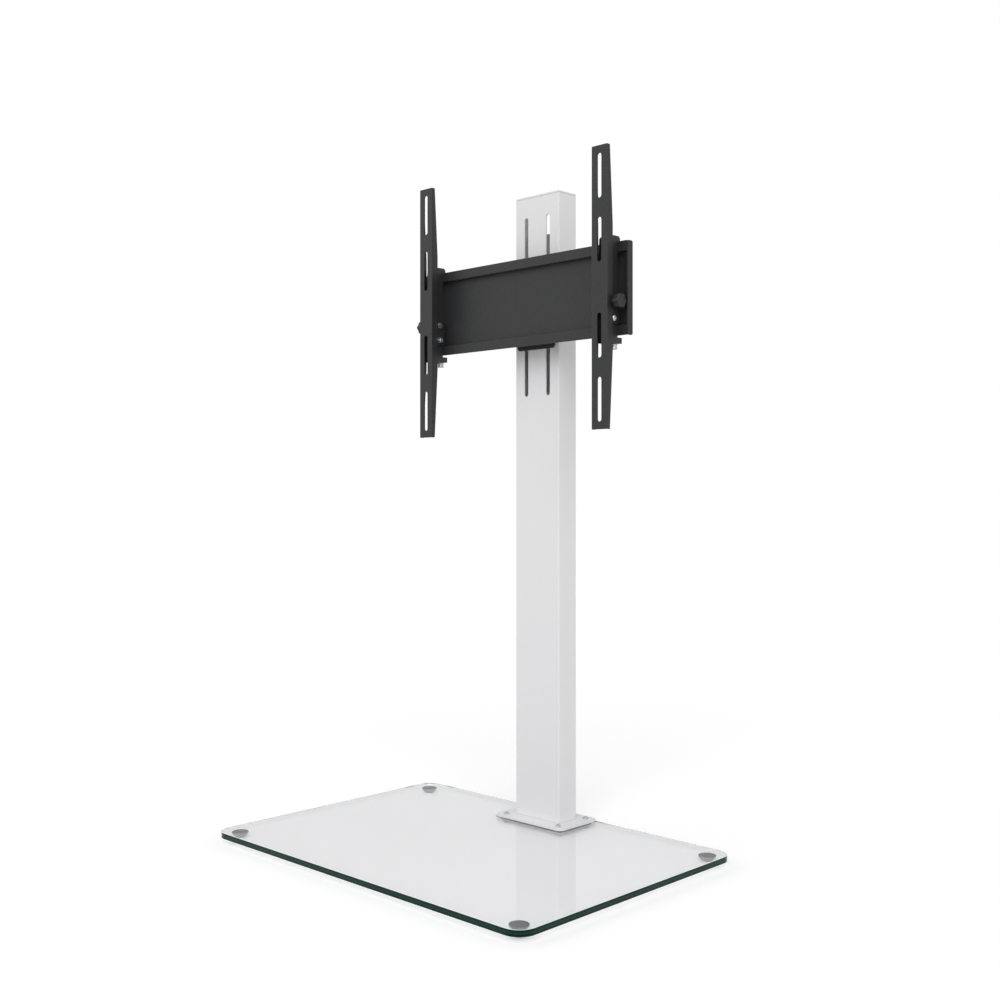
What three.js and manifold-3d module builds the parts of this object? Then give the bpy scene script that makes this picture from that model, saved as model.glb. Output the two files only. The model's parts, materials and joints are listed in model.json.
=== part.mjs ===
// Television stand on a glass base, with a mount that slides in height, swivels and tilts.
//
// Millimetres. X runs from left to right, the front faces -Y and Z is up.
// The origin lies on the floor under the middle of the glass base.

import * as THREE from 'three';
import { mergeVertices } from 'three/addons/utils/BufferGeometryUtils.js';
import Module from 'manifold-3d';

const wasm = await Module();
wasm.setup();

// Clearances that several pieces share
const seat = 0.3;
const boltPlay = 0.4;
const cutOverrun = 5;

// Number of sides on round shapes
const cornerSteps = 3;
const wideCornerSteps = 5;
const smallSides = 14;
const roundSides = 24;
const hexSides = 6;

// Glass base
const glassWidth = 700;
const glassDepth = 490;
const glassThickness = 10;
const glassCornerRadius = 28;
const glassArris = 0.8;

// Feet, glued under the corners of the glass
const footInset = 30;
const footDiscRadius = 14;
const footDiscThickness = 1.7;
const footDiscEase = 0.4;
const footTopRadius = 13.4;
const footSoleRadius = 8;
const footSoleEase = 0.8;

// Flange bolts, the sleeves that keep them off the glass, and their nuts
const flangeHeadRadius = 5;
const flangeHeadHeight = 2.9;
const flangeSocketRadius = 2.4;
const flangeSocketDepth = 1.8;
const flangeShaftRadius = 2.9;
const sleeveWall = 1.6;
const flangeNutRadius = 5.6;
const flangeNutHeight = 3.2;
const nutFloorGap = 1.5;

// Flange plate under the column, with a gasket on each side of the glass
const flangeThickness = 4;
const flangeCornerRadius = 10;
const flangeEdgeEase = 0.5;
const flangeRearMargin = 3;
const flangeBoltGapAcross = 5;
const flangeBoltGapAlong = 8;
const flangeLandAcross = 11.5;
const flangeLandAlong = 8;
const gasketThickness = 0.6;
const gasketInset = 1.5;
const counterThickness = 2.5;
const counterInset = 7;

// Column, a channel that is open at the back between two lips
const columnWidth = 100;
const columnDepth = 45;
const columnHeight = 1068;
const columnWall = 2.5;
const columnCornerRadius = 2;
const columnLip = 14;

// Cable cover that clips between the lips, and the windows it leaves for cables
const coverWall = 2;
const coverLegDepth = 8;
const lowerWindow = 45;
const upperWindow = 48;

// Cap that closes the top of the column
const capThickness = 3;
const capEase = 0.8;
const capSkirtDepth = 8;
const capSkirtWall = 2;

// Height carriage and the plate inside the column that it is clamped to
const heightTravel = 90;
const headTopGap = 15;
const carriageThickness = 4;
const carriageCornerRadius = 6;
const carriageLandAcross = 10;
const carriageLandUp = 8;
const clampBoltSpacing = 120;
const clampHeadRadius = 7;
const clampHeadHeight = 4.4;
const clampSocketRadius = 2.9;
const clampSocketDepth = 2.6;
const clampShaftRadius = 4;
const clampShaftTail = 4;
const clampPlateThickness = 5;
const clampPlateSideGap = 7.5;

// Swivel hinge
const earThickness = 5;
const earTipRadius = 12;
const earBaseHalf = 16;
const earBoltGap = 2;
const earRailGap = 1;
const barrelRadius = 10;
const barrelLength = 100;
const barrelRearGap = 1.3;
const barrelRibWidth = 12;
const hingeShaftRadius = 4;
const hingeHeadRadius = 7;
const hingeHeadHeight = 5.3;
const hingeNutHeight = 6.5;
const hingeTail = 2;
const washerThickness = 1.4;
const washerRadius = 9;
const weldPlateWidth = 60;
const weldPlateThickness = 3;
const weldPlateInset = 8;

// Mount rail, a channel that faces forward, with a lip above and below
const railOverhang = 30;
const railHeight = 120;
const railDepth = 12.5;
const railWall = 2.5;
const railLip = 14;
const railCapThickness = 3;
const railCapCorner = 3;
const railCapEase = 0.8;
const railPlugLength = 8;
const railPlugThickness = 4.5;

// Hook brackets, which hang on the rail and carry the tilting bars
const armSpacing = 400;
const bracketHalf = 13;
const bracketWall = 2.5;
const bracketPivotDrop = 48;
const bracketPivotStandoff = 12;
const bracketNose = 9;
const bracketTopStandoff = 14;
const hookRise = 8;
const hookReach = 10;
const hookThickness = 3;
const hookSlack = 0.5;
const hookChamfer = 3;
const tabGap = 9;
const tabThickness = 3;
const tabCheekRise = 6;
const tabLand = 2.3;

// Tilting bars, which the television is screwed to
const tiltDown = 12;
const tiltUp = 5;
const barWall = 2.5;
const barNoseGap = 6.5;
const barFlangeDepth = 12;
const barEndDepth = 5;
const barTaperLength = 122;
const barLobeCorner = 6;
const barSlotRadius = 4.25;
const barSlotLength = 70;
const barSlotPitch = 100;
const barSlotStart = 40;
const barEndLand = 12;

// Pivot bolts and tilt clamps
const pivotRadius = 3;
const pivotHeadRadius = 5.2;
const pivotHeadHeight = 3;
const pivotSocketRadius = 2;
const pivotSocketDepth = 1.6;
const pivotNutRadius = 5.6;
const pivotNutHeight = 4.5;
const pivotTail = 1;
const pivotLand = 5.6;
const tiltStudRadius = 3;
const tiltStudArm = 26;
const tiltStudHead = 5.4;
const tiltStudHeadHeight = 3;
const tiltSlotLand = 4;
const knobRadius = 12;
const knobLobeDepth = 1.6;
const knobLobes = 6;
const knobLobeSteps = 8;
const knobLength = 12;
const knobEase = 1.5;
const knobHubRadius = 8;
const knobHubLength = 3;
const knobBoreDepth = 10;

// Lock screws, which stop the hook brackets from lifting off the rail
const lockRadius = 2.5;
const lockGap = 0.7;
const lockTopGap = 1;
const lockHeadRadius = 6;
const lockHeadHeight = 8;
const lockHeadGroove = 0.6;

// Sizes that follow from the ones above
const flangeBoltX = columnWidth / 2 + flangeBoltGapAcross + flangeHeadRadius;
const flangeBoltY = columnDepth / 2 + flangeBoltGapAlong + flangeHeadRadius;
const flangeWidth = 2 * (flangeBoltX + flangeHeadRadius + flangeLandAcross);
const flangeDepth = 2 * (flangeBoltY + flangeHeadRadius + flangeLandAlong);
const flangeHoleRadius = flangeShaftRadius + boltPlay;
const sleeveRadius = flangeHoleRadius + sleeveWall;
const glassHoleRadius = sleeveRadius + seat;

// Heights of the layers, from the floor up
const nutBottomZ = nutFloorGap;
const counterBottomZ = nutBottomZ + flangeNutHeight + seat;
const underGasketBottomZ = counterBottomZ + counterThickness + seat;
const glassBottomZ = underGasketBottomZ + gasketThickness + seat;
const glassTopZ = glassBottomZ + glassThickness;
const gasketBottomZ = glassTopZ + seat;
const flangeBottomZ = gasketBottomZ + gasketThickness + seat;
const flangeTopZ = flangeBottomZ + flangeThickness;
const columnBottomZ = flangeTopZ + seat;
const columnTopZ = columnBottomZ + columnHeight;
const footDiscBottomZ = glassBottomZ - seat - footDiscThickness;
const footConeHeight = footDiscBottomZ - seat;

// Places of the column and of the mount head in front of it
const columnCentreY = glassDepth / 2 - flangeRearMargin - flangeDepth / 2;
const clampHalfHeight = clampBoltSpacing / 2 + clampHeadRadius + carriageLandUp;
const headCentreZ = columnTopZ - capSkirtDepth - headTopGap - heightTravel - clampHalfHeight;
const clampBoltX = earBaseHalf + earBoltGap + clampHeadRadius;
const carriageHalfWidth = clampBoltX + clampHeadRadius + carriageLandAcross;
const columnSlotRadius = clampShaftRadius + boltPlay;

// Depths in the mount head, measured forward from the front face of the column
const carriageFront = seat + carriageThickness;
const axisFront = carriageFront + clampHeadHeight + barrelRearGap + barrelRadius;
const railBack = axisFront + earTipRadius + earRailGap;
const railFront = railBack + railDepth;
const lipBack = railFront - railWall;
const pivotFront = railFront + bracketPivotStandoff;
const barBack = pivotFront + bracketNose + barNoseGap;
const barFront = barBack + barWall;

// Heights in the mount head, measured from its middle
const washerBottom = barrelLength / 2 + seat;
const earBottom = washerBottom + washerThickness + seat;
const earTop = earBottom + earThickness;
const railHalf = railHeight / 2;
const lipTop = railHalf + railLip;
const tabTop = -(lipTop + tabGap);
const tabBottom = tabTop - tabThickness;
const barLength = 2 * (barSlotStart + barSlotPitch + barSlotLength + barEndLand);

// Widths in the mount head
const railLength = armSpacing + 2 * railOverhang;
const barHalf = bracketHalf + seat + barWall;

// Finishes
const finishes = {
  glass: { color: 0xdfe9e6, roughness: 0.05, metalness: 0, transparent: true, opacity: 0.45 },
  whiteCoat: { color: 0xe4e4e6, roughness: 0.45, metalness: 0 },
  whitePlastic: { color: 0xdededf, roughness: 0.5, metalness: 0 },
  blackCoat: { color: 0x1d1e20, roughness: 0.6, metalness: 0 },
  blackPlastic: { color: 0x141416, roughness: 0.5, metalness: 0 },
  gasket: { color: 0x1a1b1c, roughness: 0.9, metalness: 0 },
  nylon: { color: 0xd9d8d2, roughness: 0.55, metalness: 0 },
  zinc: { color: 0xa9adb0, roughness: 0.35, metalness: 0.9 },
  footDisc: { color: 0x7d8483, roughness: 0.4, metalness: 0.3 },
  footCone: { color: 0x9fa8a5, roughness: 0.5, metalness: 0 },
};

function finish(name) {
  return new THREE.MeshStandardMaterial({ name, ...finishes[name] });
}

// Outlines

function arcPoints(x, y, radius, from, to, steps) {
  const points = [];
  for (let i = 0; i <= steps; i += 1) {
    const angle = from + ((to - from) * i) / steps;
    points.push(new THREE.Vector2(x + radius * Math.cos(angle), y + radius * Math.sin(angle)));
  }
  return points;
}

function roundedRect(width, height, radius, steps = cornerSteps) {
  const x = width / 2 - radius;
  const y = height / 2 - radius;
  const quarter = Math.PI / 2;
  return new THREE.Shape([
    ...arcPoints(x, y, radius, 0, quarter, steps),
    ...arcPoints(-x, y, radius, quarter, 2 * quarter, steps),
    ...arcPoints(-x, -y, radius, 2 * quarter, 3 * quarter, steps),
    ...arcPoints(x, -y, radius, 3 * quarter, 4 * quarter, steps),
  ]);
}

function outline(pairs) {
  return new THREE.Shape(pairs.map(([a, b]) => new THREE.Vector2(a, b)));
}

function circle(x, y, radius, sides = smallSides) {
  return new THREE.Path(arcPoints(x, y, radius, 0, 2 * Math.PI, sides).slice(0, -1));
}

// A slot with round ends, upright, from its lower to its upper end
function slot(x, bottom, top, radius) {
  return new THREE.Shape([
    ...arcPoints(x, top - radius, radius, 0, Math.PI, smallSides / 2),
    ...arcPoints(x, bottom + radius, radius, Math.PI, 2 * Math.PI, smallSides / 2),
  ]);
}

// Solids

function extrusion(shape, from, to, ease = 0) {
  return new THREE.ExtrudeGeometry(shape, {
    depth: to - from - 2 * ease,
    bevelEnabled: ease > 0,
    bevelThickness: ease,
    bevelSize: ease,
    bevelOffset: -ease,
    bevelSegments: 1,
  }).translate(0, 0, from + ease);
}

const axisX = new THREE.Vector3(1, 0, 0);
const axisY = new THREE.Vector3(0, 1, 0);
const axisZ = new THREE.Vector3(0, 0, 1);
const backwards = new THREE.Vector3(0, -1, 0);

// The outline's two directions become Y and Z, and it is drawn out along X
function alongX(shape, from, to, ease) {
  const turn = new THREE.Matrix4().makeBasis(axisY, axisZ, axisX);
  return extrusion(shape, from, to, ease).applyMatrix4(turn);
}

// The outline's two directions become X and Z, and it is drawn out along Y
function alongY(shape, from, to, ease) {
  const turn = new THREE.Matrix4().makeBasis(axisX, axisZ, backwards);
  return extrusion(shape, -to, -from, ease).applyMatrix4(turn);
}

function alongZ(shape, from, to, ease) {
  return extrusion(shape, from, to, ease);
}

function box(lowX, highX, lowY, highY, lowZ, highZ) {
  return new THREE.BoxGeometry(highX - lowX, highY - lowY, highZ - lowZ)
    .translate((lowX + highX) / 2, (lowY + highY) / 2, (lowZ + highZ) / 2);
}

// A profile of radius and height, turned about Z
function turned(profile, sides = roundSides) {
  const points = profile.map(([radius, height]) => new THREE.Vector2(radius, height));
  return new THREE.LatheGeometry(points, sides).rotateX(Math.PI / 2);
}

function rod(radius, from, to, sides = smallSides) {
  return new THREE.CylinderGeometry(radius, radius, to - from, sides)
    .rotateX(Math.PI / 2)
    .translate(0, 0, (from + to) / 2);
}

function rodAlongX(radius, from, to, y, z, sides) {
  return rod(radius, from, to, sides).rotateY(Math.PI / 2).translate(0, y, z);
}

// Joining and cutting

function solid(geometry) {
  const bare = geometry.clone();
  bare.deleteAttribute('normal');
  bare.deleteAttribute('uv');
  const merged = mergeVertices(bare);
  return new wasm.Manifold(new wasm.Mesh({
    numProp: 3,
    vertProperties: new Float32Array(merged.getAttribute('position').array),
    triVerts: new Uint32Array(merged.getIndex().array),
  }));
}

function joined(...geometries) {
  return geometries.map(solid).reduce((whole, next) => whole.add(next));
}

function cut(body, ...geometries) {
  return geometries.map(solid).reduce((whole, next) => whole.subtract(next), body);
}

function geometryOf(body) {
  const { vertProperties, triVerts } = body.getMesh();
  const geometry = new THREE.BufferGeometry();
  geometry.setAttribute('position', new THREE.BufferAttribute(vertProperties, 3));
  geometry.setIndex(new THREE.BufferAttribute(triVerts, 1));
  const faceted = geometry.toNonIndexed();
  faceted.computeVertexNormals();
  return faceted;
}

function piece(name, shape, finishName) {
  const geometry = shape instanceof THREE.BufferGeometry ? shape : geometryOf(shape);
  const mesh = new THREE.Mesh(geometry, finish(finishName));
  mesh.name = name;
  return mesh;
}

function placed(mesh, x, y, z) {
  mesh.position.set(x, y, z);
  return mesh;
}

// Fasteners, made with the head above Z = 0 and the shaft below it

function boltShape(shaftRadius, shaftLength, headRadius, headHeight, socketRadius, socketDepth) {
  const shoulder = headHeight / 3;
  const dome = arcPoints(0, 0, 1, 0, Math.PI / 2, cornerSteps)
    .map((point) => [headRadius * point.x, shoulder + (headHeight - shoulder) * point.y]);
  const body = solid(turned([
    [0, -shaftLength],
    [shaftRadius, -shaftLength],
    [shaftRadius, 0],
    [headRadius, 0],
    ...dome.slice(0, -1),
    [0, headHeight],
  ], smallSides));
  const socket = rod(socketRadius, headHeight - socketDepth, headHeight + cutOverrun, hexSides);
  return cut(body, socket);
}

function nutShape(radius, height, boreRadius) {
  return cut(
    solid(rod(radius, 0, height, hexSides)),
    rod(boreRadius, -cutOverrun, height + cutOverrun),
  );
}

const corners = [
  { name: 'front_left', x: -1, y: -1 },
  { name: 'front_right', x: 1, y: -1 },
  { name: 'rear_left', x: -1, y: 1 },
  { name: 'rear_right', x: 1, y: 1 },
];

const sides = [
  { name: 'left', x: -1 },
  { name: 'right', x: 1 },
];

// The flange's outline with its four bolt holes, shrunk by an inset
function flangeOutline(inset) {
  const shape = roundedRect(
    flangeWidth - 2 * inset,
    flangeDepth - 2 * inset,
    flangeCornerRadius - inset,
    wideCornerSteps,
  );
  for (const corner of corners) {
    shape.holes.push(circle(corner.x * flangeBoltX, corner.y * flangeBoltY, flangeHoleRadius));
  }
  return shape;
}

// Glass base and feet
function glassBase() {
  const group = new THREE.Group();
  const shape = roundedRect(glassWidth, glassDepth, glassCornerRadius, wideCornerSteps);
  for (const corner of corners) {
    const y = columnCentreY + corner.y * flangeBoltY;
    shape.holes.push(circle(corner.x * flangeBoltX, y, glassHoleRadius));
  }
  group.add(piece('glass_base', alongZ(shape, glassBottomZ, glassTopZ, glassArris), 'glass'));

  const disc = [
    [0, 0],
    [footDiscRadius, 0],
    [footDiscRadius, footDiscThickness - footDiscEase],
    [footDiscRadius - footDiscEase, footDiscThickness],
    [0, footDiscThickness],
  ];
  const cone = [
    [0, 0],
    [footSoleRadius - footSoleEase, 0],
    [footSoleRadius, footSoleEase],
    [footTopRadius, footConeHeight],
    [0, footConeHeight],
  ];
  for (const corner of corners) {
    const x = corner.x * (glassWidth / 2 - footInset);
    const y = corner.y * (glassDepth / 2 - footInset);
    const top = piece(`foot_disc_${corner.name}`, turned(disc), 'footDisc');
    const sole = piece(`foot_cone_${corner.name}`, turned(cone), 'footCone');
    group.add(placed(top, x, y, footDiscBottomZ));
    group.add(placed(sole, x, y, 0));
  }
  return group;
}

// Bolted joint that holds the column's flange to the glass
function flangeJoint() {
  const group = new THREE.Group();
  group.position.y = columnCentreY;
  const plate = alongZ(flangeOutline(0), flangeBottomZ, flangeTopZ, flangeEdgeEase);
  const gasketTopZ = gasketBottomZ + gasketThickness;
  const upper = alongZ(flangeOutline(gasketInset), gasketBottomZ, gasketTopZ);
  const underGasketTopZ = underGasketBottomZ + gasketThickness;
  const under = alongZ(flangeOutline(counterInset), underGasketBottomZ, underGasketTopZ);
  const counter = alongZ(
    flangeOutline(counterInset),
    counterBottomZ,
    counterBottomZ + counterThickness,
    flangeEdgeEase,
  );
  group.add(piece('flange_plate', plate, 'whiteCoat'));
  group.add(piece('flange_gasket', upper, 'gasket'));
  group.add(piece('under_gasket', under, 'nylon'));
  group.add(piece('counter_plate', counter, 'whiteCoat'));

  const headBottomZ = flangeTopZ + seat;
  const sleeveRing = [
    [flangeHoleRadius, 0],
    [sleeveRadius, 0],
    [sleeveRadius, glassThickness],
    [flangeHoleRadius, glassThickness],
    [flangeHoleRadius, 0],
  ];
  for (const corner of corners) {
    const x = corner.x * flangeBoltX;
    const y = corner.y * flangeBoltY;
    const bolt = boltShape(
      flangeShaftRadius,
      headBottomZ - nutBottomZ,
      flangeHeadRadius,
      flangeHeadHeight,
      flangeSocketRadius,
      flangeSocketDepth,
    );
    const nut = nutShape(flangeNutRadius, flangeNutHeight, flangeHoleRadius);
    group.add(placed(piece(`flange_bolt_${corner.name}`, bolt, 'zinc'), x, y, headBottomZ));
    group.add(placed(piece(`flange_nut_${corner.name}`, nut, 'zinc'), x, y, nutBottomZ));
    group.add(placed(
      piece(`bolt_sleeve_${corner.name}`, turned(sleeveRing, smallSides), 'nylon'),
      x,
      y,
      glassBottomZ,
    ));
  }
  return group;
}

// Column with its cable cover and cap
function columnShape() {
  const x = columnWidth / 2;
  const y = columnDepth / 2;
  const radius = columnCornerRadius;
  const innerX = x - columnWall;
  const innerY = y - columnWall;
  const lipX = x - columnLip;
  const quarter = Math.PI / 2;
  const shape = new THREE.Shape([
    new THREE.Vector2(lipX, innerY),
    new THREE.Vector2(lipX, y),
    ...arcPoints(x - radius, y - radius, radius, quarter, 0, cornerSteps),
    ...arcPoints(x - radius, radius - y, radius, 0, -quarter, cornerSteps),
    ...arcPoints(radius - x, radius - y, radius, -quarter, -2 * quarter, cornerSteps),
    ...arcPoints(radius - x, y - radius, radius, -2 * quarter, -3 * quarter, cornerSteps),
    new THREE.Vector2(-lipX, y),
    new THREE.Vector2(-lipX, innerY),
    new THREE.Vector2(-innerX, innerY),
    new THREE.Vector2(-innerX, -innerY),
    new THREE.Vector2(innerX, -innerY),
    new THREE.Vector2(innerX, innerY),
  ]);
  const reach = clampBoltSpacing / 2 + heightTravel + columnSlotRadius;
  const opening = (side) => alongY(
    slot(side.x * clampBoltX, headCentreZ - reach, headCentreZ + reach, columnSlotRadius),
    -y - cutOverrun,
    -y + columnWall + cutOverrun,
  );
  return cut(solid(alongZ(shape, columnBottomZ, columnTopZ)), ...sides.map(opening));
}

function coverShape() {
  const x = columnWidth / 2 - columnLip - seat;
  const back = columnDepth / 2;
  const inside = back - coverWall;
  const legEnd = inside - coverLegDepth;
  const shape = outline([
    [-x, legEnd],
    [-x + coverWall, legEnd],
    [-x + coverWall, inside],
    [x - coverWall, inside],
    [x - coverWall, legEnd],
    [x, legEnd],
    [x, back],
    [-x, back],
  ]);
  return alongZ(shape, columnBottomZ + lowerWindow, columnTopZ - capSkirtDepth - upperWindow);
}

function capShape() {
  const width = columnWidth - 2 * (columnWall + seat);
  const depth = columnDepth - 2 * (columnWall + seat);
  const lid = roundedRect(columnWidth, columnDepth, columnCornerRadius);
  const skirtBottom = columnTopZ - capSkirtDepth;
  const lidBottom = columnTopZ + seat;
  const body = joined(
    alongZ(lid, lidBottom, lidBottom + capThickness, capEase),
    box(-width / 2, width / 2, -depth / 2, depth / 2, skirtBottom, lidBottom + capThickness / 2),
  );
  const hollowX = width / 2 - capSkirtWall;
  const hollowY = depth / 2 - capSkirtWall;
  const hollow = box(-hollowX, hollowX, -hollowY, hollowY, skirtBottom - cutOverrun, lidBottom);
  return cut(body, hollow);
}

function column() {
  const group = new THREE.Group();
  group.position.y = columnCentreY;
  group.add(piece('column', columnShape(), 'whiteCoat'));
  group.add(piece('rear_cable_cover', coverShape(), 'whitePlastic'));
  group.add(piece('column_cap', capShape(), 'whitePlastic'));
  return group;
}

// Height carriage: a plate with two ears that hold the hinge bolt
function carriageShape() {
  const plate = roundedRect(2 * carriageHalfWidth, 2 * clampHalfHeight, carriageCornerRadius);
  for (const corner of corners) {
    const z = (corner.y * clampBoltSpacing) / 2;
    plate.holes.push(circle(corner.x * clampBoltX, z, clampShaftRadius + boltPlay));
  }
  const ear = new THREE.Shape([
    new THREE.Vector2(earBaseHalf, -seat - carriageThickness / 2),
    new THREE.Vector2(earBaseHalf, -carriageFront),
    ...arcPoints(0, -axisFront, earTipRadius, 0, -Math.PI, roundSides / 2),
    new THREE.Vector2(-earBaseHalf, -carriageFront),
    new THREE.Vector2(-earBaseHalf, -seat - carriageThickness / 2),
  ]);
  ear.holes.push(circle(0, -axisFront, hingeShaftRadius + seat));
  return joined(
    alongY(plate, -carriageFront, -seat),
    alongZ(ear, earBottom, earTop),
    alongZ(ear, -earTop, -earBottom),
  );
}

function clampPlateShape() {
  const halfWidth = columnWidth / 2 - columnWall - clampPlateSideGap;
  const shape = roundedRect(2 * halfWidth, 2 * clampHalfHeight, carriageCornerRadius);
  for (const corner of corners) {
    const z = (corner.y * clampBoltSpacing) / 2;
    shape.holes.push(circle(corner.x * clampBoltX, z, clampShaftRadius + seat));
  }
  const front = columnWall + seat;
  return alongY(shape, front, front + clampPlateThickness);
}

function carriage() {
  const group = new THREE.Group();
  group.add(piece('height_carriage', carriageShape(), 'blackCoat'));
  group.add(piece('clamp_plate', clampPlateShape(), 'zinc'));
  const shaft = carriageFront + seat + columnWall + seat + clampPlateThickness + clampShaftTail;
  for (const corner of corners) {
    const level = corner.y > 0 ? 'upper' : 'lower';
    const side = corner.x > 0 ? 'right' : 'left';
    const bolt = piece(`clamp_bolt_${level}_${side}`, boltShape(
      clampShaftRadius,
      shaft,
      clampHeadRadius,
      clampHeadHeight - seat,
      clampSocketRadius,
      clampSocketDepth,
    ), 'zinc');
    bolt.rotation.x = Math.PI / 2;
    const z = (corner.y * clampBoltSpacing) / 2;
    group.add(placed(bolt, corner.x * clampBoltX, -carriageFront - seat, z));
  }
  return group;
}

// Swivel hinge between the carriage and the rail
function swivelShape() {
  const half = barrelLength / 2;
  const plateHalf = half - weldPlateInset;
  const plateFront = -(railBack - seat);
  const plateBack = plateFront + weldPlateThickness;
  const body = joined(
    rod(barrelRadius, -half, half, roundSides).translate(0, -axisFront, 0),
    box(-barrelRibWidth / 2, barrelRibWidth / 2, plateFront, -axisFront, -plateHalf, plateHalf),
    box(-weldPlateWidth / 2, weldPlateWidth / 2, plateFront, plateBack, -plateHalf, plateHalf),
  );
  const bore = rod(hingeShaftRadius + seat, -half - cutOverrun, half + cutOverrun, roundSides);
  return cut(body, bore.translate(0, -axisFront, 0));
}

function swivel() {
  const group = new THREE.Group();
  group.add(piece('swivel_bracket', swivelShape(), 'blackCoat'));
  const washer = [
    [hingeShaftRadius + seat, 0],
    [washerRadius, 0],
    [washerRadius, washerThickness],
    [hingeShaftRadius + seat, washerThickness],
    [hingeShaftRadius + seat, 0],
  ];
  const upper = piece('thrust_washer_upper', turned(washer, smallSides), 'nylon');
  const lower = piece('thrust_washer_lower', turned(washer, smallSides), 'nylon');
  group.add(placed(upper, 0, -axisFront, washerBottom));
  group.add(placed(lower, 0, -axisFront, -washerBottom - washerThickness));

  const headBottom = earTop + seat;
  const nutTop = -earTop - seat;
  const shaftEnd = nutTop - hingeNutHeight - hingeTail;
  const bolt = joined(
    rod(hingeHeadRadius, headBottom, headBottom + hingeHeadHeight, hexSides),
    rod(hingeShaftRadius, shaftEnd, headBottom + hingeHeadHeight / 2, roundSides),
  );
  const nut = nutShape(hingeHeadRadius, hingeNutHeight, hingeShaftRadius + seat);
  group.add(placed(piece('hinge_bolt', bolt, 'zinc'), 0, -axisFront, 0));
  group.add(placed(piece('hinge_nut', nut, 'zinc'), 0, -axisFront, nutTop - hingeNutHeight));
  return group;
}

// Mount rail with a stop on each end
function railShape() {
  const web = -(railBack + railWall);
  const inner = railHalf - railWall;
  return alongX(outline([
    [-railBack, -railHalf],
    [-railBack, railHalf],
    [-lipBack, railHalf],
    [-lipBack, lipTop],
    [-railFront, lipTop],
    [-railFront, inner],
    [web, inner],
    [web, -inner],
    [-railFront, -inner],
    [-railFront, -lipTop],
    [-lipBack, -lipTop],
    [-lipBack, -railHalf],
  ]), -railLength / 2, railLength / 2);
}

function railEndShape(side) {
  const inner = railLength / 2 + seat;
  const plugEnd = railLength / 2 - railPlugLength;
  const plugHalf = railHalf - railWall - seat;
  const plugBack = -(railBack + railWall + seat);
  const plugFront = plugBack - railPlugThickness;
  const cap = roundedRect(railDepth, 2 * lipTop, railCapCorner);
  const body = joined(
    alongX(cap, inner, inner + railCapThickness, railCapEase)
      .translate(0, -(railBack + railFront) / 2, 0),
    box(plugEnd, inner + railCapThickness / 2, plugFront, plugBack, -plugHalf, plugHalf),
  );
  return side.x > 0 ? body : body.mirror(axisX.toArray());
}

function rail() {
  const group = new THREE.Group();
  group.add(piece('mount_rail', railShape(), 'blackCoat'));
  for (const side of sides) {
    group.add(piece(`rail_end_${side.name}`, railEndShape(side), 'blackPlastic'));
  }
  return group;
}

// Hook bracket: a channel with a hook over the rail's upper lip and a tab under the lower one
function bracketShape() {
  const hookTop = lipTop + seat;
  const roof = hookTop + hookRise;
  const slotFront = -(railFront + seat);
  const slotBack = -lipBack + hookSlack;
  const hookBack = slotBack + hookThickness;
  const tabRear = -lipBack + lockGap + 2 * lockRadius + tabLand;
  const cheekTop = tabTop + tabCheekRise;
  const noseY = -(pivotFront + bracketNose);
  const topY = -(railFront + bracketTopStandoff);
  const footY = noseY + bracketNose / 2;
  const profile = [
    [footY, tabBottom],
    [tabRear, tabBottom],
    [tabRear, cheekTop],
    [slotFront, cheekTop],
    [slotFront, hookTop],
    [slotBack, hookTop],
    [slotBack, hookTop - hookReach],
    [hookBack, hookTop - hookReach],
    [hookBack, roof - hookChamfer],
    [hookBack - hookChamfer, roof],
    [topY + hookChamfer, roof],
    [topY, roof - hookChamfer],
    [noseY, -bracketPivotDrop + bracketNose],
    [noseY, -bracketPivotDrop - bracketNose],
  ];
  const insideRoof = roof - bracketWall;
  const hollow = [
    [footY + bracketWall, tabTop],
    [cutOverrun, tabTop],
    [cutOverrun, insideRoof],
    [topY + bracketWall + hookChamfer, insideRoof],
    [topY + bracketWall, insideRoof - hookChamfer],
    [noseY + bracketWall, -bracketPivotDrop + bracketNose],
    [noseY + bracketWall, -bracketPivotDrop - bracketNose],
  ];
  const through = bracketHalf + cutOverrun;
  const lockY = -lipBack + lockGap + lockRadius;
  return cut(
    solid(alongX(outline(profile), -bracketHalf, bracketHalf)),
    alongX(outline(hollow), bracketWall - bracketHalf, bracketHalf - bracketWall),
    rodAlongX(pivotRadius + seat, -through, through, -pivotFront, -bracketPivotDrop),
    rodAlongX(tiltStudRadius + seat, -through, through, -pivotFront, tiltStudArm - bracketPivotDrop),
    rod(lockRadius + boltPlay, tabBottom - cutOverrun, tabTop + cutOverrun).translate(0, lockY, 0),
  );
}

// Curved slot that the tilt clamp's stud runs in, about the pivot
function arcSlot(radius, halfWidth, from, to) {
  const outer = arcPoints(0, 0, radius + halfWidth, from, to, cornerSteps);
  const inner = arcPoints(0, 0, radius - halfWidth, to, from, cornerSteps);
  const end = [radius * Math.cos(to), radius * Math.sin(to)];
  const start = [radius * Math.cos(from), radius * Math.sin(from)];
  return new THREE.Shape([
    ...outer,
    ...arcPoints(...end, halfWidth, to, to + Math.PI, smallSides / 2).slice(1, -1),
    ...inner,
    ...arcPoints(...start, halfWidth, from + Math.PI, from + 2 * Math.PI, smallSides / 2).slice(1, -1),
  ]);
}

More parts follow.
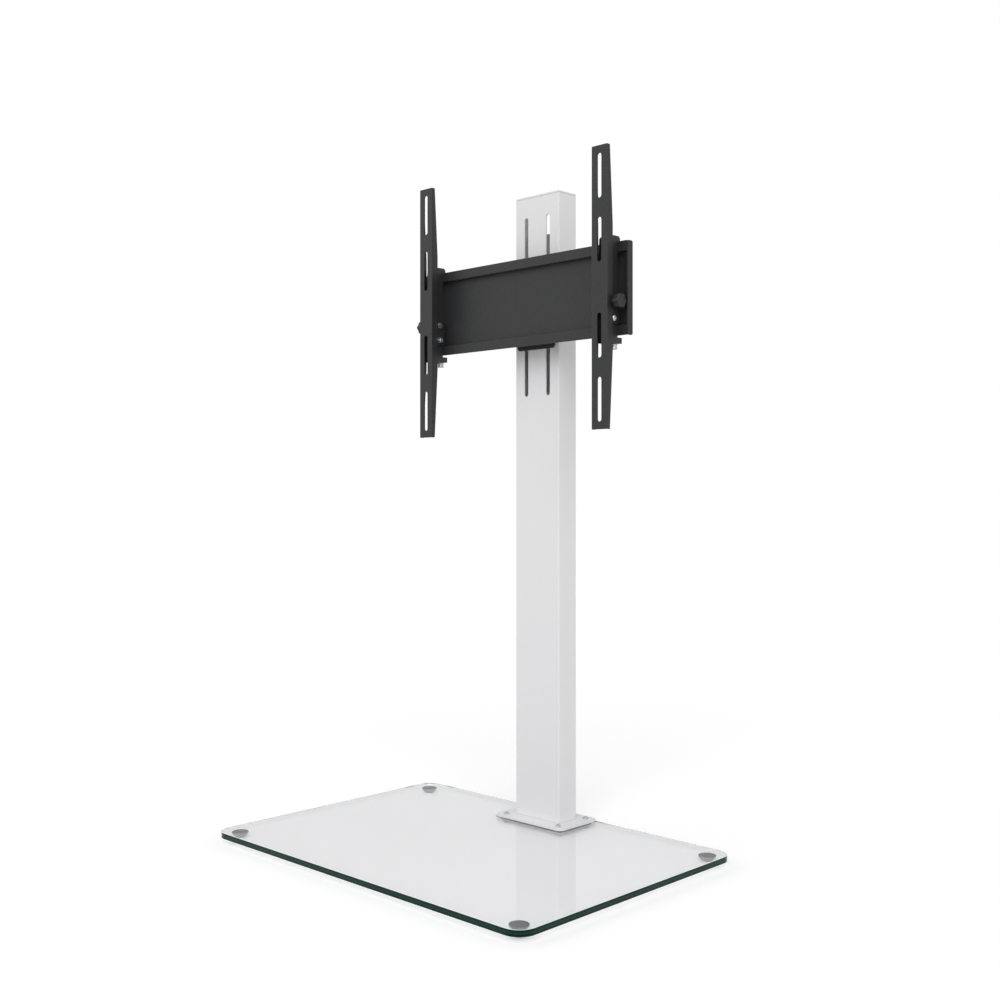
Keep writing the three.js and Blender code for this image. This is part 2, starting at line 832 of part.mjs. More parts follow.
// Tilting bar: a channel with slots for the television's screws
function barShape() {
  const slotRadius = tiltStudRadius + boltPlay;
  const down = THREE.MathUtils.degToRad(tiltDown);
  const up = THREE.MathUtils.degToRad(tiltUp);
  const end = barLength / 2;
  const taper = end - barTaperLength;
  const flangeBack = -barBack + barFlangeDepth;
  const lobeBack = -pivotFront + tiltStudArm * Math.sin(down) + slotRadius + tiltSlotLand;
  const lobeBottom = -bracketPivotDrop - pivotRadius - pivotLand;
  const lobeTop = tiltStudArm - bracketPivotDrop + slotRadius + 2 * tiltSlotLand;
  const quarter = Math.PI / 2;
  const cornerY = lobeBack - barLobeCorner;
  const profile = new THREE.Shape([
    new THREE.Vector2(-barFront, -end),
    new THREE.Vector2(-barBack + barEndDepth, -end),
    new THREE.Vector2(flangeBack, -taper),
    new THREE.Vector2(flangeBack, lobeBottom),
    ...arcPoints(cornerY, lobeBottom + barLobeCorner, barLobeCorner, -quarter, 0, cornerSteps),
    ...arcPoints(cornerY, lobeTop - barLobeCorner, barLobeCorner, 0, quarter, cornerSteps),
    new THREE.Vector2(flangeBack, lobeTop),
    new THREE.Vector2(flangeBack, taper),
    new THREE.Vector2(-barBack + barEndDepth, end),
    new THREE.Vector2(-barFront, end),
  ]);
  const inner = barHalf - barWall;
  const through = barHalf + cutOverrun;
  const clampSlot = alongX(
    arcSlot(tiltStudArm, slotRadius, quarter - down, quarter + up),
    -through,
    through,
  ).translate(0, -pivotFront, -bracketPivotDrop);
  const screwSlots = [];
  for (const start of [barSlotStart, barSlotStart + barSlotPitch]) {
    for (const way of [-1, 1]) {
      const middle = way * (start + barSlotLength / 2);
      const opening = slot(0, middle - barSlotLength / 2, middle + barSlotLength / 2, barSlotRadius);
      screwSlots.push(alongY(opening, -barFront - cutOverrun, -barBack + cutOverrun));
    }
  }
  return cut(
    solid(alongX(profile, -barHalf, barHalf)),
    box(-inner, inner, -barBack, cutOverrun, -end - cutOverrun, end + cutOverrun),
    rodAlongX(pivotRadius + seat, -through, through, -pivotFront, -bracketPivotDrop),
    clampSlot,
    ...screwSlots,
  );
}

// Hand knob with a lobed rim, its stud's end in a blind bore
function knobShape() {
  const rim = [];
  const steps = knobLobes * knobLobeSteps;
  for (let i = 0; i < steps; i += 1) {
    const angle = (2 * Math.PI * i) / steps;
    const radius = knobRadius - knobLobeDepth * (1 + Math.cos(knobLobes * angle)) / 2;
    rim.push(new THREE.Vector2(radius * Math.cos(angle), radius * Math.sin(angle)));
  }
  const grip = alongZ(new THREE.Shape(rim), knobHubLength, knobHubLength + knobLength, knobEase);
  const body = joined(grip, rod(knobHubRadius, 0, knobHubLength + knobEase));
  return cut(body, rod(tiltStudRadius + seat, -cutOverrun, knobBoreDepth));
}

function lockScrewShape() {
  const tip = -railHalf - lockTopGap - tabBottom;
  const band = lockHeadHeight / 5;
  const top = -seat;
  const grooved = lockHeadRadius - lockHeadGroove;
  return turned([
    [0, top - lockHeadHeight],
    [grooved, top - lockHeadHeight],
    [lockHeadRadius, top - lockHeadHeight + lockHeadGroove],
    [lockHeadRadius, top - 4 * band],
    [grooved, top - 3 * band],
    [grooved, top - 2 * band],
    [lockHeadRadius, top - band],
    [lockHeadRadius, top],
    [lockRadius, top],
    [lockRadius, tip],
    [0, tip],
  ], smallSides);
}

function arm(side) {
  const group = new THREE.Group();
  group.position.x = (side.x * armSpacing) / 2;
  group.add(piece(`hook_bracket_${side.name}`, bracketShape(), 'blackCoat'));
  group.add(piece(`tilt_bar_${side.name}`, barShape(), 'blackCoat'));

  const outward = (side.x * Math.PI) / 2;
  const face = barHalf + seat;
  const pivotLength = 2 * face + pivotNutHeight + pivotTail;
  const pivot = piece(`pivot_bolt_${side.name}`, boltShape(
    pivotRadius,
    pivotLength,
    pivotHeadRadius,
    pivotHeadHeight,
    pivotSocketRadius,
    pivotSocketDepth,
  ), 'zinc');
  pivot.rotation.y = outward;
  group.add(placed(pivot, side.x * face, -pivotFront, -bracketPivotDrop));
  const nut = piece(
    `pivot_nut_${side.name}`,
    nutShape(pivotNutRadius, pivotNutHeight, pivotRadius + seat),
    'zinc',
  );
  nut.rotation.y = -outward;
  group.add(placed(nut, -side.x * face, -pivotFront, -bracketPivotDrop));

  const studZ = tiltStudArm - bracketPivotDrop;
  const studTip = face + knobBoreDepth - seat;
  const stud = piece(`tilt_stud_${side.name}`, joined(
    rod(tiltStudRadius, -face, studTip),
    rod(tiltStudHead, -face - tiltStudHeadHeight, -face, hexSides),
  ), 'zinc');
  stud.rotation.y = outward;
  group.add(placed(stud, 0, -pivotFront, studZ));
  const knob = piece(`tilt_knob_${side.name}`, knobShape(), 'blackPlastic');
  knob.rotation.y = outward;
  group.add(placed(knob, side.x * face, -pivotFront, studZ));

  const lock = piece(`lock_screw_${side.name}`, lockScrewShape(), 'zinc');
  group.add(placed(lock, 0, -lipBack + lockGap + lockRadius, tabBottom));
  return group;
}

function mountHead() {
  const group = new THREE.Group();
  group.position.set(0, columnCentreY - columnDepth / 2, headCentreZ);
  group.add(carriage(), swivel(), rail());
  for (const side of sides) {
    group.add(arm(side));
  }
  return group;
}

const stand = new THREE.Group();
stand.name = 'tv_stand';
stand.add(glassBase(), flangeJoint(), column(), mountHead());

export default stand;
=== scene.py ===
"""Builds the finished surfaces of a television stand round its CAD frame.

Metres, in the frame's axes: X runs from left to right, the front faces -Y and Z is up.
"""

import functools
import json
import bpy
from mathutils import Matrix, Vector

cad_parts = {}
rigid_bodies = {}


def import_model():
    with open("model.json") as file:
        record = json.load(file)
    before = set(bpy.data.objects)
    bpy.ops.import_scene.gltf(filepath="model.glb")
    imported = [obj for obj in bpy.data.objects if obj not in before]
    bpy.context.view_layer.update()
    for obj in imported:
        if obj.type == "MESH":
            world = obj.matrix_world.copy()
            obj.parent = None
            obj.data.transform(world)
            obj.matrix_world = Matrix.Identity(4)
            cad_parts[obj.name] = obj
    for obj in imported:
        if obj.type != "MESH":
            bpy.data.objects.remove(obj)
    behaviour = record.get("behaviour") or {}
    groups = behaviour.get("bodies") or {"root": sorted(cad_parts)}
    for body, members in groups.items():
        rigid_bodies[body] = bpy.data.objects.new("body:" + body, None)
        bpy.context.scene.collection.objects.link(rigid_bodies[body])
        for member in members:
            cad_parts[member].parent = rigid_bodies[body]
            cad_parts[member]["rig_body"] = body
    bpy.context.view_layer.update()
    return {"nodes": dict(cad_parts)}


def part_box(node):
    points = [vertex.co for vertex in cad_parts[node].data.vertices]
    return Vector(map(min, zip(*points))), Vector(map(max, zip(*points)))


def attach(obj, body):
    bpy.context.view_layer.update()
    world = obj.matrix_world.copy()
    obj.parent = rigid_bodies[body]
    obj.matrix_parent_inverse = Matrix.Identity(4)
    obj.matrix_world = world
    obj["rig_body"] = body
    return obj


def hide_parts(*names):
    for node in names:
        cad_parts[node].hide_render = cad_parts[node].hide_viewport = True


bl_info = {
    "name": "Television Stand With Mount",
    "version": (1, 0, 0),
    "blender": (4, 5, 0),
    "location": "View3D > Sidebar > Stand",
    "description": "Models and finishes a glass based television stand piece by piece",
    "category": "Object",
}

from math import atan2, cos, hypot, pi, radians, sin

import bpy
from bpy.types import Node, NodeSocket, Operator, Panel, PropertyGroup
from mathutils import Vector

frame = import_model()

MM = 0.001
QUARTER = pi / 2
CIRCLE = 2 * pi
CORNERS = ("front_left", "front_right", "rear_left", "rear_right")
SIDES = ("right", "left")

# From here no two points of a piece are equally far, so they sort the same way in each run
SORT_POINT = (-3.1, -7.3, -11.9)

# Gap between touching pieces, how far a cutter reaches past them, and what counts as one place
GAP = 0.3 * MM
OVERRUN = 4 * MM
NEAR = 0.001 * MM

# Walls thicker than the folded steel, corners and edges of cut plates, and small rounded edges
THICK_WALL = 3 * MM
PLATE_CORNER = 6 * MM
PLATE_EASE = 0.6 * MM
TRIM = 0.25 * MM

# Share of a face's normal that lies along an axis, where it looks along it and where across it
ALONG = 0.99
ACROSS = 0.1

# Sides of round shapes and steps of rounded edges
ROUND_SIDES = 64
BORE_SIDES = 32
HEX_SIDES = 6
HEX_FLAT = 0.87
ARC_STEPS = 10
EASE_STEPS = 2
FINE_STEPS = 3
SMOOTH_STEPS = 4
BEND_STEPS = 5
EASE_ANGLE = radians(40)
SMOOTH_ANGLE = radians(50)
GLASS_ANGLE = radians(30)

# How much of the floor's glow and of the white sky shows in mirrors
MIRROR_SHARE = 0.55

# Between these two levels of a noise, a colour or roughness goes from its one end to the other
NOISE_LOW, NOISE_HIGH = 0.3, 0.7

# Glass and the gaskets on it
GLASS_IOR = 1.52
GLASS_DENSITY = 16
SHADOW_LIGHT = 0.9
# Painted shade: the share of its tint that the glass edge still mirrors at its top and bottom
# borders
PAINTED_BORDER_SHADE = 0.1
GLASS_HOLE = 5.2 * MM
GASKET_EASE = 0.15 * MM

# Feet: the discs reach up over the gap, so that they look glued to the glass
FOOT_GLUE = GAP + 0.02 * MM
FOOT_EASE = 0.4 * MM
DISC_TRIM = 0.05 * MM
SOLE = 8 * MM
SOLE_EASE = 0.9 * MM
SOLE_DISH = 0.7 * MM
DISH_SHARE, RING_SHARE = 0.55, 0.72
FOOT_GROOVE = 0.5 * MM
GROOVE_SHARE = 0.72

# Fasteners, by their radii. A button head has a radius, a rise, and its socket's radius and depth
M6_SHAFT = 3 * MM
M6_BORE = M6_SHAFT + GAP
M8_SHAFT = 4 * MM
M8_BORE = M8_SHAFT + GAP
THREAD_PITCH = 1 * MM
THREAD_DEPTH = 0.35 * MM
BUTTON_TRIM = 0.12 * MM
HEX_TRIM = 0.1 * MM
SLEEVE_TRIM = 0.2 * MM
FLANGE_SHAFT = 2.9 * MM
FLANGE_HEAD = (5 * MM, 2.9 * MM, 2.4 * MM, 1.8 * MM)
CLAMP_HOLE = 4.4 * MM
CLAMP_HEAD = (7 * MM, 4.1 * MM, 2.9 * MM, 2.6 * MM)
PIVOT_HEAD = (5.2 * MM, 3 * MM, 2 * MM, 1.6 * MM)
HINGE_RISE = 5.3 * MM

# Column, cover and cap
SLOT_REACH = 154.4 * MM
COVER_WALL = 2 * MM
COVER_EASE = 0.5 * MM
CAP_INSET = 2.8 * MM
CAP_EASE = 0.9 * MM

# Height carriage and its clamp
CARRIAGE_WALL = 4 * MM
CLAMP_BOLTS = [f"clamp_bolt_{row}_{side}" for row in ("upper", "lower") for side in SIDES[::-1]]
EAR_BASE = 16 * MM
EAR_TIP = 12 * MM
EAR_WALL = 5 * MM
EAR_BOTTOM = 52 * MM

# Swivel bracket
BARREL = 10 * MM
RIB_WIDTH = 12 * MM
WELD_INSET = 8 * MM

# Mount rail
RAIL_LIP = 14 * MM
END_CORNER = 3 * MM
END_EASE = 0.7 * MM
RAIL_TONGUE = 4.5 * MM

# Hook brackets
HOOK_SLACK = 0.5 * MM
HOOK_REACH = 10 * MM
CHAMFER = 3 * MM
CHEEK_RISE = 6 * MM
NOSE = 9 * MM
TOP_SETBACK = 14 * MM

# Tilting bars
BAR_DEPTH = 12 * MM
END_DEPTH = 5 * MM
BAR_TAPER = 122 * MM
LOBE_BELOW = 8.6 * MM
LOBE_ABOVE = 11.4 * MM
BAR_SLOT = 4.25 * MM
SLOT_STARTS = (40 * MM, 140 * MM)
SLOT_LENGTH = 70 * MM
TILT_DOWN = radians(12)
TILT_UP = radians(5)
STUD_SLOT = 3.4 * MM

# Tilt clamps
STUD_RISE = 3 * MM
KNOB_LOBES = 6
LOBE_DEPTH = 1.6 * MM
KNOB_HUB = 8 * MM
KNOB_NECK = 3 * MM
KNOB_EASE = 1.6 * MM
KNOB_DISH = 7.5 * MM
DISH_DEPTH = 0.6 * MM
KNOB_BORE = 10 * MM

# Lock screws
LOCK_SHAFT = 2.5 * MM
LOCK_HOLE = 2.9 * MM
LOCK_HEAD = 8 * MM
LOCK_GROOVE = 0.6 * MM
LOCK_DISH, LOCK_RIM, LOCK_TIP = 0.6, 0.7, 0.7
LOCK_THREAD = (0.8 * MM, 0.28 * MM)
KNURL_SIDES = 72
KNURL_DEPTH = 0.28 * MM


def number(name, description, default, **limits):
    return bpy.props.FloatProperty(name=name, description=description, default=default, **limits)


def numbers(name, description, default, **limits):
    return bpy.props.FloatVectorProperty(
        name=name, description=description, default=default, size=len(default), **limits
    )


def millimetres(name, description, default, low, high):
    limits = {"min": low * MM, "max": high * MM, "unit": "LENGTH"}
    return number(name, description, default * MM, **limits)


def share(name, description, default):
    return number(name, description, default, min=0, max=1, subtype="FACTOR")


def colour(name, description, *default):
    return numbers(name, description, default, min=0, max=1, subtype="COLOR")


def heading(name, default):
    return numbers(name, "Where this light comes from", default, subtype="DIRECTION")


class StandSizes(PropertyGroup):
    """Roundings of the stand's pieces and the wall of its folded steel."""

    glass_corner: millimetres("Glass corner", "Corner radius of the glass base", 28, 5, 60)
    glass_arris: millimetres("Glass arris", "Width of the glass's ground chamfer", 0.55, 0.2, 2)
    flange_corner: millimetres("Flange corner", "Corner radius of the flange plate", 10, 2, 20)
    column_corner: millimetres("Column corner", "Bend radius of the column", 2, 0.5, 2.4)
    sheet_wall: millimetres("Sheet wall", "Thickness of the folded steel", 2.5, 1, 4)
    bend_radius: millimetres("Bend radius", "Bend radius of the mount's steel", 1.4, 0.3, 2)
    softness: millimetres("Edge softness", "Rounding of the coat on cut edges", 0.35, 0.1, 1)


class StandColours(PropertyGroup):
    """Colours of the stand's finishes."""

    white_coat: colour("White coat", "Column, flange and counter plate", 0.80, 0.80, 0.81)
    white_plastic: colour("White plastic", "Cover and cap", 0.77, 0.77, 0.775)
    black_coat: colour("Black coat", "Folded steel of the mount", 0.017, 0.0175, 0.019)
    black_plastic: colour("Black plastic", "Knobs and rail ends", 0.011, 0.011, 0.012)
    gasket: colour("Gasket", "Rubber between flange and glass", 0.013, 0.013, 0.014)
    nylon: colour("Nylon", "Sleeves, washers and lower gasket", 0.69, 0.68, 0.63)
    zinc: colour("Zinc", "Bolts, nuts and clamp plate", 0.55, 0.565, 0.58)
    foot_disc: colour("Foot disc", "Discs glued to the glass", 0.08, 0.09, 0.09)
    foot_cone: colour("Foot cone", "Soft soles of the feet", 0.14, 0.17, 0.16)
    glass: colour("Glass", "Faces of the glass", 1.0, 1.0, 1.0)
    glass_tint: colour("Glass tint", "What the glass lets through", 0.23, 0.23, 0.275)
    glass_edge: colour("Glass edge", "Polished edge of the glass", 0.006, 0.16, 0.10)
    # The glass edge mirrors this tint in full along its middle, as a painted highlight, and less
    # towards its borders
    edge_mirror_and_highlight: colour("Edge gloss", "What the glass edge mirrors", 0.34, 1.0, 0.84)
    glass_arris: colour("Arris", "Ground chamfers of the glass", 0.93, 0.97, 0.965)


class StageSettings(PropertyGroup):
    """Camera, floor and light."""

    camera_place: numbers(
        "Camera place", "Where the camera stands", (1.4310, -1.3992, 0.57834),
        subtype="TRANSLATION", unit="LENGTH",
    )
    camera_turn: number("Camera turn", "How far it turns to the left", 0.7685, subtype="ANGLE")
    lens: number("Lens", "Focal length on a sensor 36 mm wide", 44.49, min=20, unit="CAMERA")
    lens_shift: numbers("Lens shift", "Across and up, in picture widths", (-0.0006, -0.0043))
    floor_size: number("Floor size", "Side of the square floor", 60, min=4, unit="LENGTH")
    floor_shade: share("Floor shade", "Share of the light that the floor throws back", 0.8)
    floor_glow: share("Floor glow", "Brightness added to what the camera sees of it", 0.33)
    sky_strength: share("Sky", "Even light from all round", 0.56)
    key_level: share("Key light", "Brightness on a white face turned to this light", 0.44)
    key_direction: heading("Key direction", (0.53, -0.60, 0.50))
    fill_level: share("Fill light", "Brightness on a white face turned to this light", 0.12)
    fill_direction: heading("Fill direction", (-0.80, -0.33, 0.50))
    light_spread: number("Light spread", "Sets how soft shadows are", 0.9, subtype="ANGLE")


# Places in the frame


def centre(node):
    low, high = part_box(node)
    return (low + high) / 2


def centres(nodes):
    return [centre(node) for node in nodes]


def span(node):
    low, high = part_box(node)
    return high - low


def at_corners(stem):
    return [f"{stem}_{corner}" for corner in CORNERS]


def at_sides(stem):
    return [f"{stem}_{side}" for side in SIDES]


def stand():
    return bpy.context.scene.stand_sizes


def spot(axis, along, a, b):
    """A point at a height along an axis, with its other two coordinates in their usual order."""
    return Vector({"X": (along, a, b), "Y": (a, along, b), "Z": (a, b, along)}[axis])


# Selecting and placing


def deselect():
    bpy.ops.object.select_all(action="DESELECT")


def take(piece):
    """Makes a piece the only selected and the active one."""
    deselect()
    piece.select_set(True)
    bpy.context.view_layer.objects.active = piece


def apply_place(piece):
    """Moves a piece's place, turn and scale into its mesh."""
    take(piece)
    bpy.ops.object.transform_apply()
    return piece


def placed(piece, place, turn=(0, 0, 0)):
    piece.rotation_euler = turn
    piece.location = place
    return apply_place(piece)


def edit(piece, kind, test):
    """Opens a piece for editing, with only those of its elements selected that pass a test.

    The test gets the place of a point, both ends of an edge, or the middle and normal of a face.
    """
    take(piece)
    mesh = piece.data
    for elements in (mesh.vertices, mesh.edges, mesh.polygons):
        for element in elements:
            element.select = False
    if kind == "points":
        for point in mesh.vertices:
            point.select = test(point.co)
    elif kind == "edges":
        for edge in mesh.edges:
            a, b = (mesh.vertices[i] for i in edge.vertices)
            if test(a.co, b.co):
                edge.select = a.select = b.select = True
    else:
        for face in mesh.polygons:
            face.select = test(face.center, face.normal)
    modes = [kind == one for one in ("points", "edges", "faces")]
    bpy.context.tool_settings.mesh_select_mode = modes
    bpy.ops.object.mode_set(mode="EDIT")


def done_editing():
    bpy.ops.object.mode_set(mode="OBJECT")


def face_outwards(piece):
    """Applies a piece's place, merges doubled points, turns faces outwards and sorts them."""
    apply_place(piece)
    bpy.ops.object.mode_set(mode="EDIT")
    bpy.ops.mesh.select_all(action="SELECT")
    bpy.ops.mesh.remove_doubles(threshold=NEAR)
    bpy.ops.mesh.normals_make_consistent()
    bpy.context.scene.cursor.location = SORT_POINT
    bpy.ops.mesh.sort_elements(type="CURSOR_DISTANCE", elements={"VERT", "EDGE", "FACE"})
    done_editing()
    return piece


# Starting shapes


def block(low, high):
    """A box between two corners."""
    low, high = Vector(low), Vector(high)
    deselect()
    bpy.ops.mesh.primitive_cube_add(size=1, location=(low + high) / 2, scale=high - low)
    return apply_place(bpy.context.object)


def rod(radius, start, end, axis="Z", place=(0, 0, 0), sides=BORE_SIDES):
    """A rod between two heights along an axis, in line with a place."""
    location = Vector(place)
    location["XYZ".index(axis)] = (start + end) / 2
    turn = {"X": (0, QUARTER, 0), "Y": (QUARTER, 0, 0), "Z": (0, 0, 0)}[axis]
    deselect()
    bpy.ops.mesh.primitive_cylinder_add(
        vertices=sides, radius=radius, depth=end - start, location=location, rotation=turn
    )
    return apply_place(bpy.context.object)


def chain(points):
    """Draws points one after the other and leaves the line open for editing."""
    deselect()
    bpy.ops.mesh.primitive_plane_add(size=MM, location=points[0])
    bpy.ops.object.mode_set(mode="EDIT")
    bpy.ops.mesh.select_mode(type="VERT")
    bpy.ops.mesh.select_all(action="SELECT")
    bpy.ops.mesh.merge(type="CENTER")
    for here, there in zip(points, points[1:]):
        bpy.ops.mesh.extrude_vertices_move(TRANSFORM_OT_translate={"value": there - here})
    bpy.ops.mesh.select_all(action="SELECT")
    return bpy.context.object


def drawn(outline, axis, start, end):
    """Draws a closed outline, fills it and pulls it out along an axis."""
    piece = chain([spot(axis, start, a, b) for a, b in outline])
    bpy.ops.mesh.edge_face_add()
    pull = {"value": spot(axis, end - start, 0, 0)}
    bpy.ops.mesh.extrude_region_move(TRANSFORM_OT_translate=pull)
    done_editing()
    return face_outwards(piece)


def turned(profile, sides=ROUND_SIDES):
    """Draws a profile of radius and height and spins it round Z."""
    piece = chain([Vector((radius, 0, height)) for radius, height in profile])
    bpy.ops.mesh.spin(steps=sides, angle=CIRCLE, center=(0, 0, 0), axis=(0, 0, 1))
    done_editing()
    return face_outwards(piece)


def arc(a, b, radius, start, end, steps=ARC_STEPS):
    """Points on an arc, from one angle to another."""
    angles = [start + (end - start) * i / steps for i in range(steps + 1)]
    return [(a + radius * cos(t), b + radius * sin(t)) for t in angles]


# Shaping


def modified(piece, kind, **settings):
    """Adds a modifier to a piece, sets it and applies it."""
    take(piece)
    bpy.ops.object.modifier_add(type=kind)
    modifier = piece.modifiers[-1]
    for name, value in settings.items():
        setattr(modifier, name, value)
    bpy.ops.object.modifier_apply(modifier=modifier.name)
    return piece


def combined(piece, others, operation):
    for other in others:
        modified(piece, "BOOLEAN", operation=operation, solver="EXACT", object=other)
        take(other)
        bpy.ops.object.delete()
    return piece


def cut(piece, *cutters):
    return combined(piece, cutters, "DIFFERENCE")


def joined(piece, *others):
    return combined(piece, others, "UNION")


def drilled(piece, radius, start, end, axis, *places):
    """Drills holes along an axis, in line with each place."""
    for place in places:
        cut(piece, rod(radius, start - OVERRUN, end + OVERRUN, axis, place))
    return piece


def upright_slot(piece, radius, x, bottom, top, front, back):
    """Cuts a slot with round ends through what lies between two depths."""
    upper = arc(x, top - radius, radius, 0, pi)
    lower = arc(x, bottom + radius, radius, pi, CIRCLE)
    cut(piece, drawn(upper + lower, "Y", front - OVERRUN, back + OVERRUN))


def round_edges(piece, axis, radius, steps=ARC_STEPS, where=None):
    """Rounds the edges that run along an axis, where their middle passes a test."""
    index = "XYZ".index(axis)

    def runs_along(a, b):
        run = b - a
        straight = abs(abs(run[index]) - run.length) < NEAR
        return straight and run.length > MM and (where is None or where((a + b) / 2))

    edit(piece, "edges", runs_along)
    bpy.ops.mesh.bevel(offset=radius, segments=steps)
    done_editing()
    return piece


def softened(piece, width=None, steps=EASE_STEPS):
    """Rounds the sharp edges that are left."""
    limit = {"limit_method": "ANGLE", "angle_limit": EASE_ANGLE}
    return modified(piece, "BEVEL", width=width or stand().softness, segments=steps, **limit)


def copied(piece):
    """Another of a piece with its own mesh."""
    take(piece)
    bpy.ops.object.duplicate()
    return bpy.context.object


def mirrored(piece):
    """Another of a piece on the other side of X = 0."""
    twin = copied(piece)
    twin.scale.x = -1
    return face_outwards(twin)


# Fitting finished pieces to the frame


def dressed(piece, node, slot, smooth_angle=SMOOTH_ANGLE):
    """Gives a piece its shading and finish and puts it in the place of its CAD node."""
    take(piece)
    bpy.ops.object.shade_smooth_by_angle(angle=smooth_angle)
    modified(piece, "WEIGHTED_NORMAL", keep_sharp=True)
    piece.name = piece.data.name = f"{node}_finished"
    piece.data.materials.clear()
    piece.data.materials.append(finish(slot))
    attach(piece, frame["nodes"][node]["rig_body"])
    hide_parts(node)


def dressed_copies(piece, nodes, slot):
    """Dresses a piece in the place of the first node, and a copy in that of each other one."""
    home = centre(nodes[0])
    copies = [placed(copied(piece), centre(node) - home) for node in nodes[1:]]
    for one, node in zip([piece, *copies], nodes):
        dressed(one, node, slot)


def dressed_pair(piece, stem, slot):
    """Dresses a piece on the right and its mirror image on the left."""
    for one, node in zip((piece, mirrored(piece)), at_sides(stem)):
        dressed(one, node, slot)


def stood(piece, nodes, slot):
    """Moves a piece from Z = 0 to the foot of the first node, and dresses it and its copies."""
    place = centre(nodes[0])
    place.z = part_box(nodes[0])[0].z
    dressed_copies(placed(piece, place), nodes, slot)


def laid_pair(piece, stem, slot, end=0):
    """Lays a piece along X, its foot at an end of the right hand node, and dresses the pair."""
    node = at_sides(stem)[0]
    place = centre(node)
    place.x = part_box(node)[end].x
    dressed_pair(placed(piece, place, (0, (QUARTER, -QUARTER)[end], 0)), stem, slot)


# Finishes


def colours():
    return bpy.context.scene.stand_colours


def grey(level):
    return (level, level, level, 1)


def feed(tree, socket, value):
    """Sets an input, or links it to an output or to the first output of a node."""
    if isinstance(value, Node):
        value = value.outputs[0]
    if isinstance(value, NodeSocket):
        tree.links.new(value, socket)
    else:
        socket.default_value = value


def add_node(tree, kind, inputs, **settings):
    node = tree.nodes.new("ShaderNode" + kind)
    for name, value in inputs.items():
        feed(tree, node.inputs[name], value)
    for name, value in settings.items():
        setattr(node, name, value)
    return node


def speckle(tree, spots, detail, stretch=1):
    """Noise over the piece, with so many spots to a metre, crowded along Y by the stretch."""
    place = add_node(tree, "TexCoord", {}).outputs["Object"]
    mapping = add_node(tree, "Mapping", {"Vector": place, "Scale": (1, stretch, 1)})
    return add_node(tree, "TexNoise", {"Vector": mapping, "Scale": spots, "Detail": detail})


def mottled(tree, mean, spots, detail, swing):
    """A colour that swings by a share to the dark and to the light side."""
    ramp = add_node(tree, "ValToRGB", {"Fac": speckle(tree, spots, detail)})
    ends = ((NOISE_LOW, 1 - swing), (NOISE_HIGH, 1 + swing))
    for stop, (place, factor) in zip(ramp.color_ramp.elements, ends):
        stop.position = place
        stop.color = (*(min(1, part * factor) for part in mean), 1)
    return ramp


def surface(slot, name, mottle, gloss, grain, sockets={}, stretches=(1, 1)):
    """A finish whose colour, roughness and height vary over the piece.

    Mottle, gloss and grain each begin with their spots to a metre and how fine these are. Mottle
    ends with the share that the colour swings by, gloss with the lowest and the highest
    roughness, and grain with its height and strength. Gloss and grain may be stretched.
    """
    material = bpy.data.materials.new(name)
    material.use_nodes = True
    tree = material.node_tree
    shader = tree.nodes["Principled BSDF"]
    mean = getattr(colours(), slot)
    spots, detail, low, high = gloss
    spread = {"From Min": NOISE_LOW, "From Max": NOISE_HIGH, "To Min": low, "To Max": high}
    spread["Value"] = speckle(tree, spots, detail, stretches[0])
    spots, detail, height, strength = grain
    relief = {"Height": speckle(tree, spots, detail, stretches[1])}
    inputs = {
        "Base Color": (*mean, 1),
        "Roughness": add_node(tree, "MapRange", spread),
        "Normal": add_node(tree, "Bump", {"Distance": height, "Strength": strength, **relief}),
        **sockets,
    }
    for socket, value in inputs.items():
        feed(tree, shader.inputs[socket], value)
    if mottle:
        feed(tree, shader.inputs["Base Color"], mottled(tree, mean, *mottle))
    return material


def powder_coat(low, high, height):
    """Baked powder coat: fine colour speckle, uneven gloss and orange peel."""
    return (900, 3, 0.035), (350, 2, low, high), (620, 3, height, 0.5)


def moulding(low, high, height):
    """Moulded plastic with a fine spark eroded grain."""
    return (500, 2, 0.03), (800, 2, low, high), (1600, 4, height, 0.4)


def milky(weight, depth):
    """Lets a little light into the surface."""
    return {"Subsurface Weight": weight, "Subsurface Scale": depth}


def clear(transmission):
    return {"Transmission Weight": transmission, "IOR": GLASS_IOR}


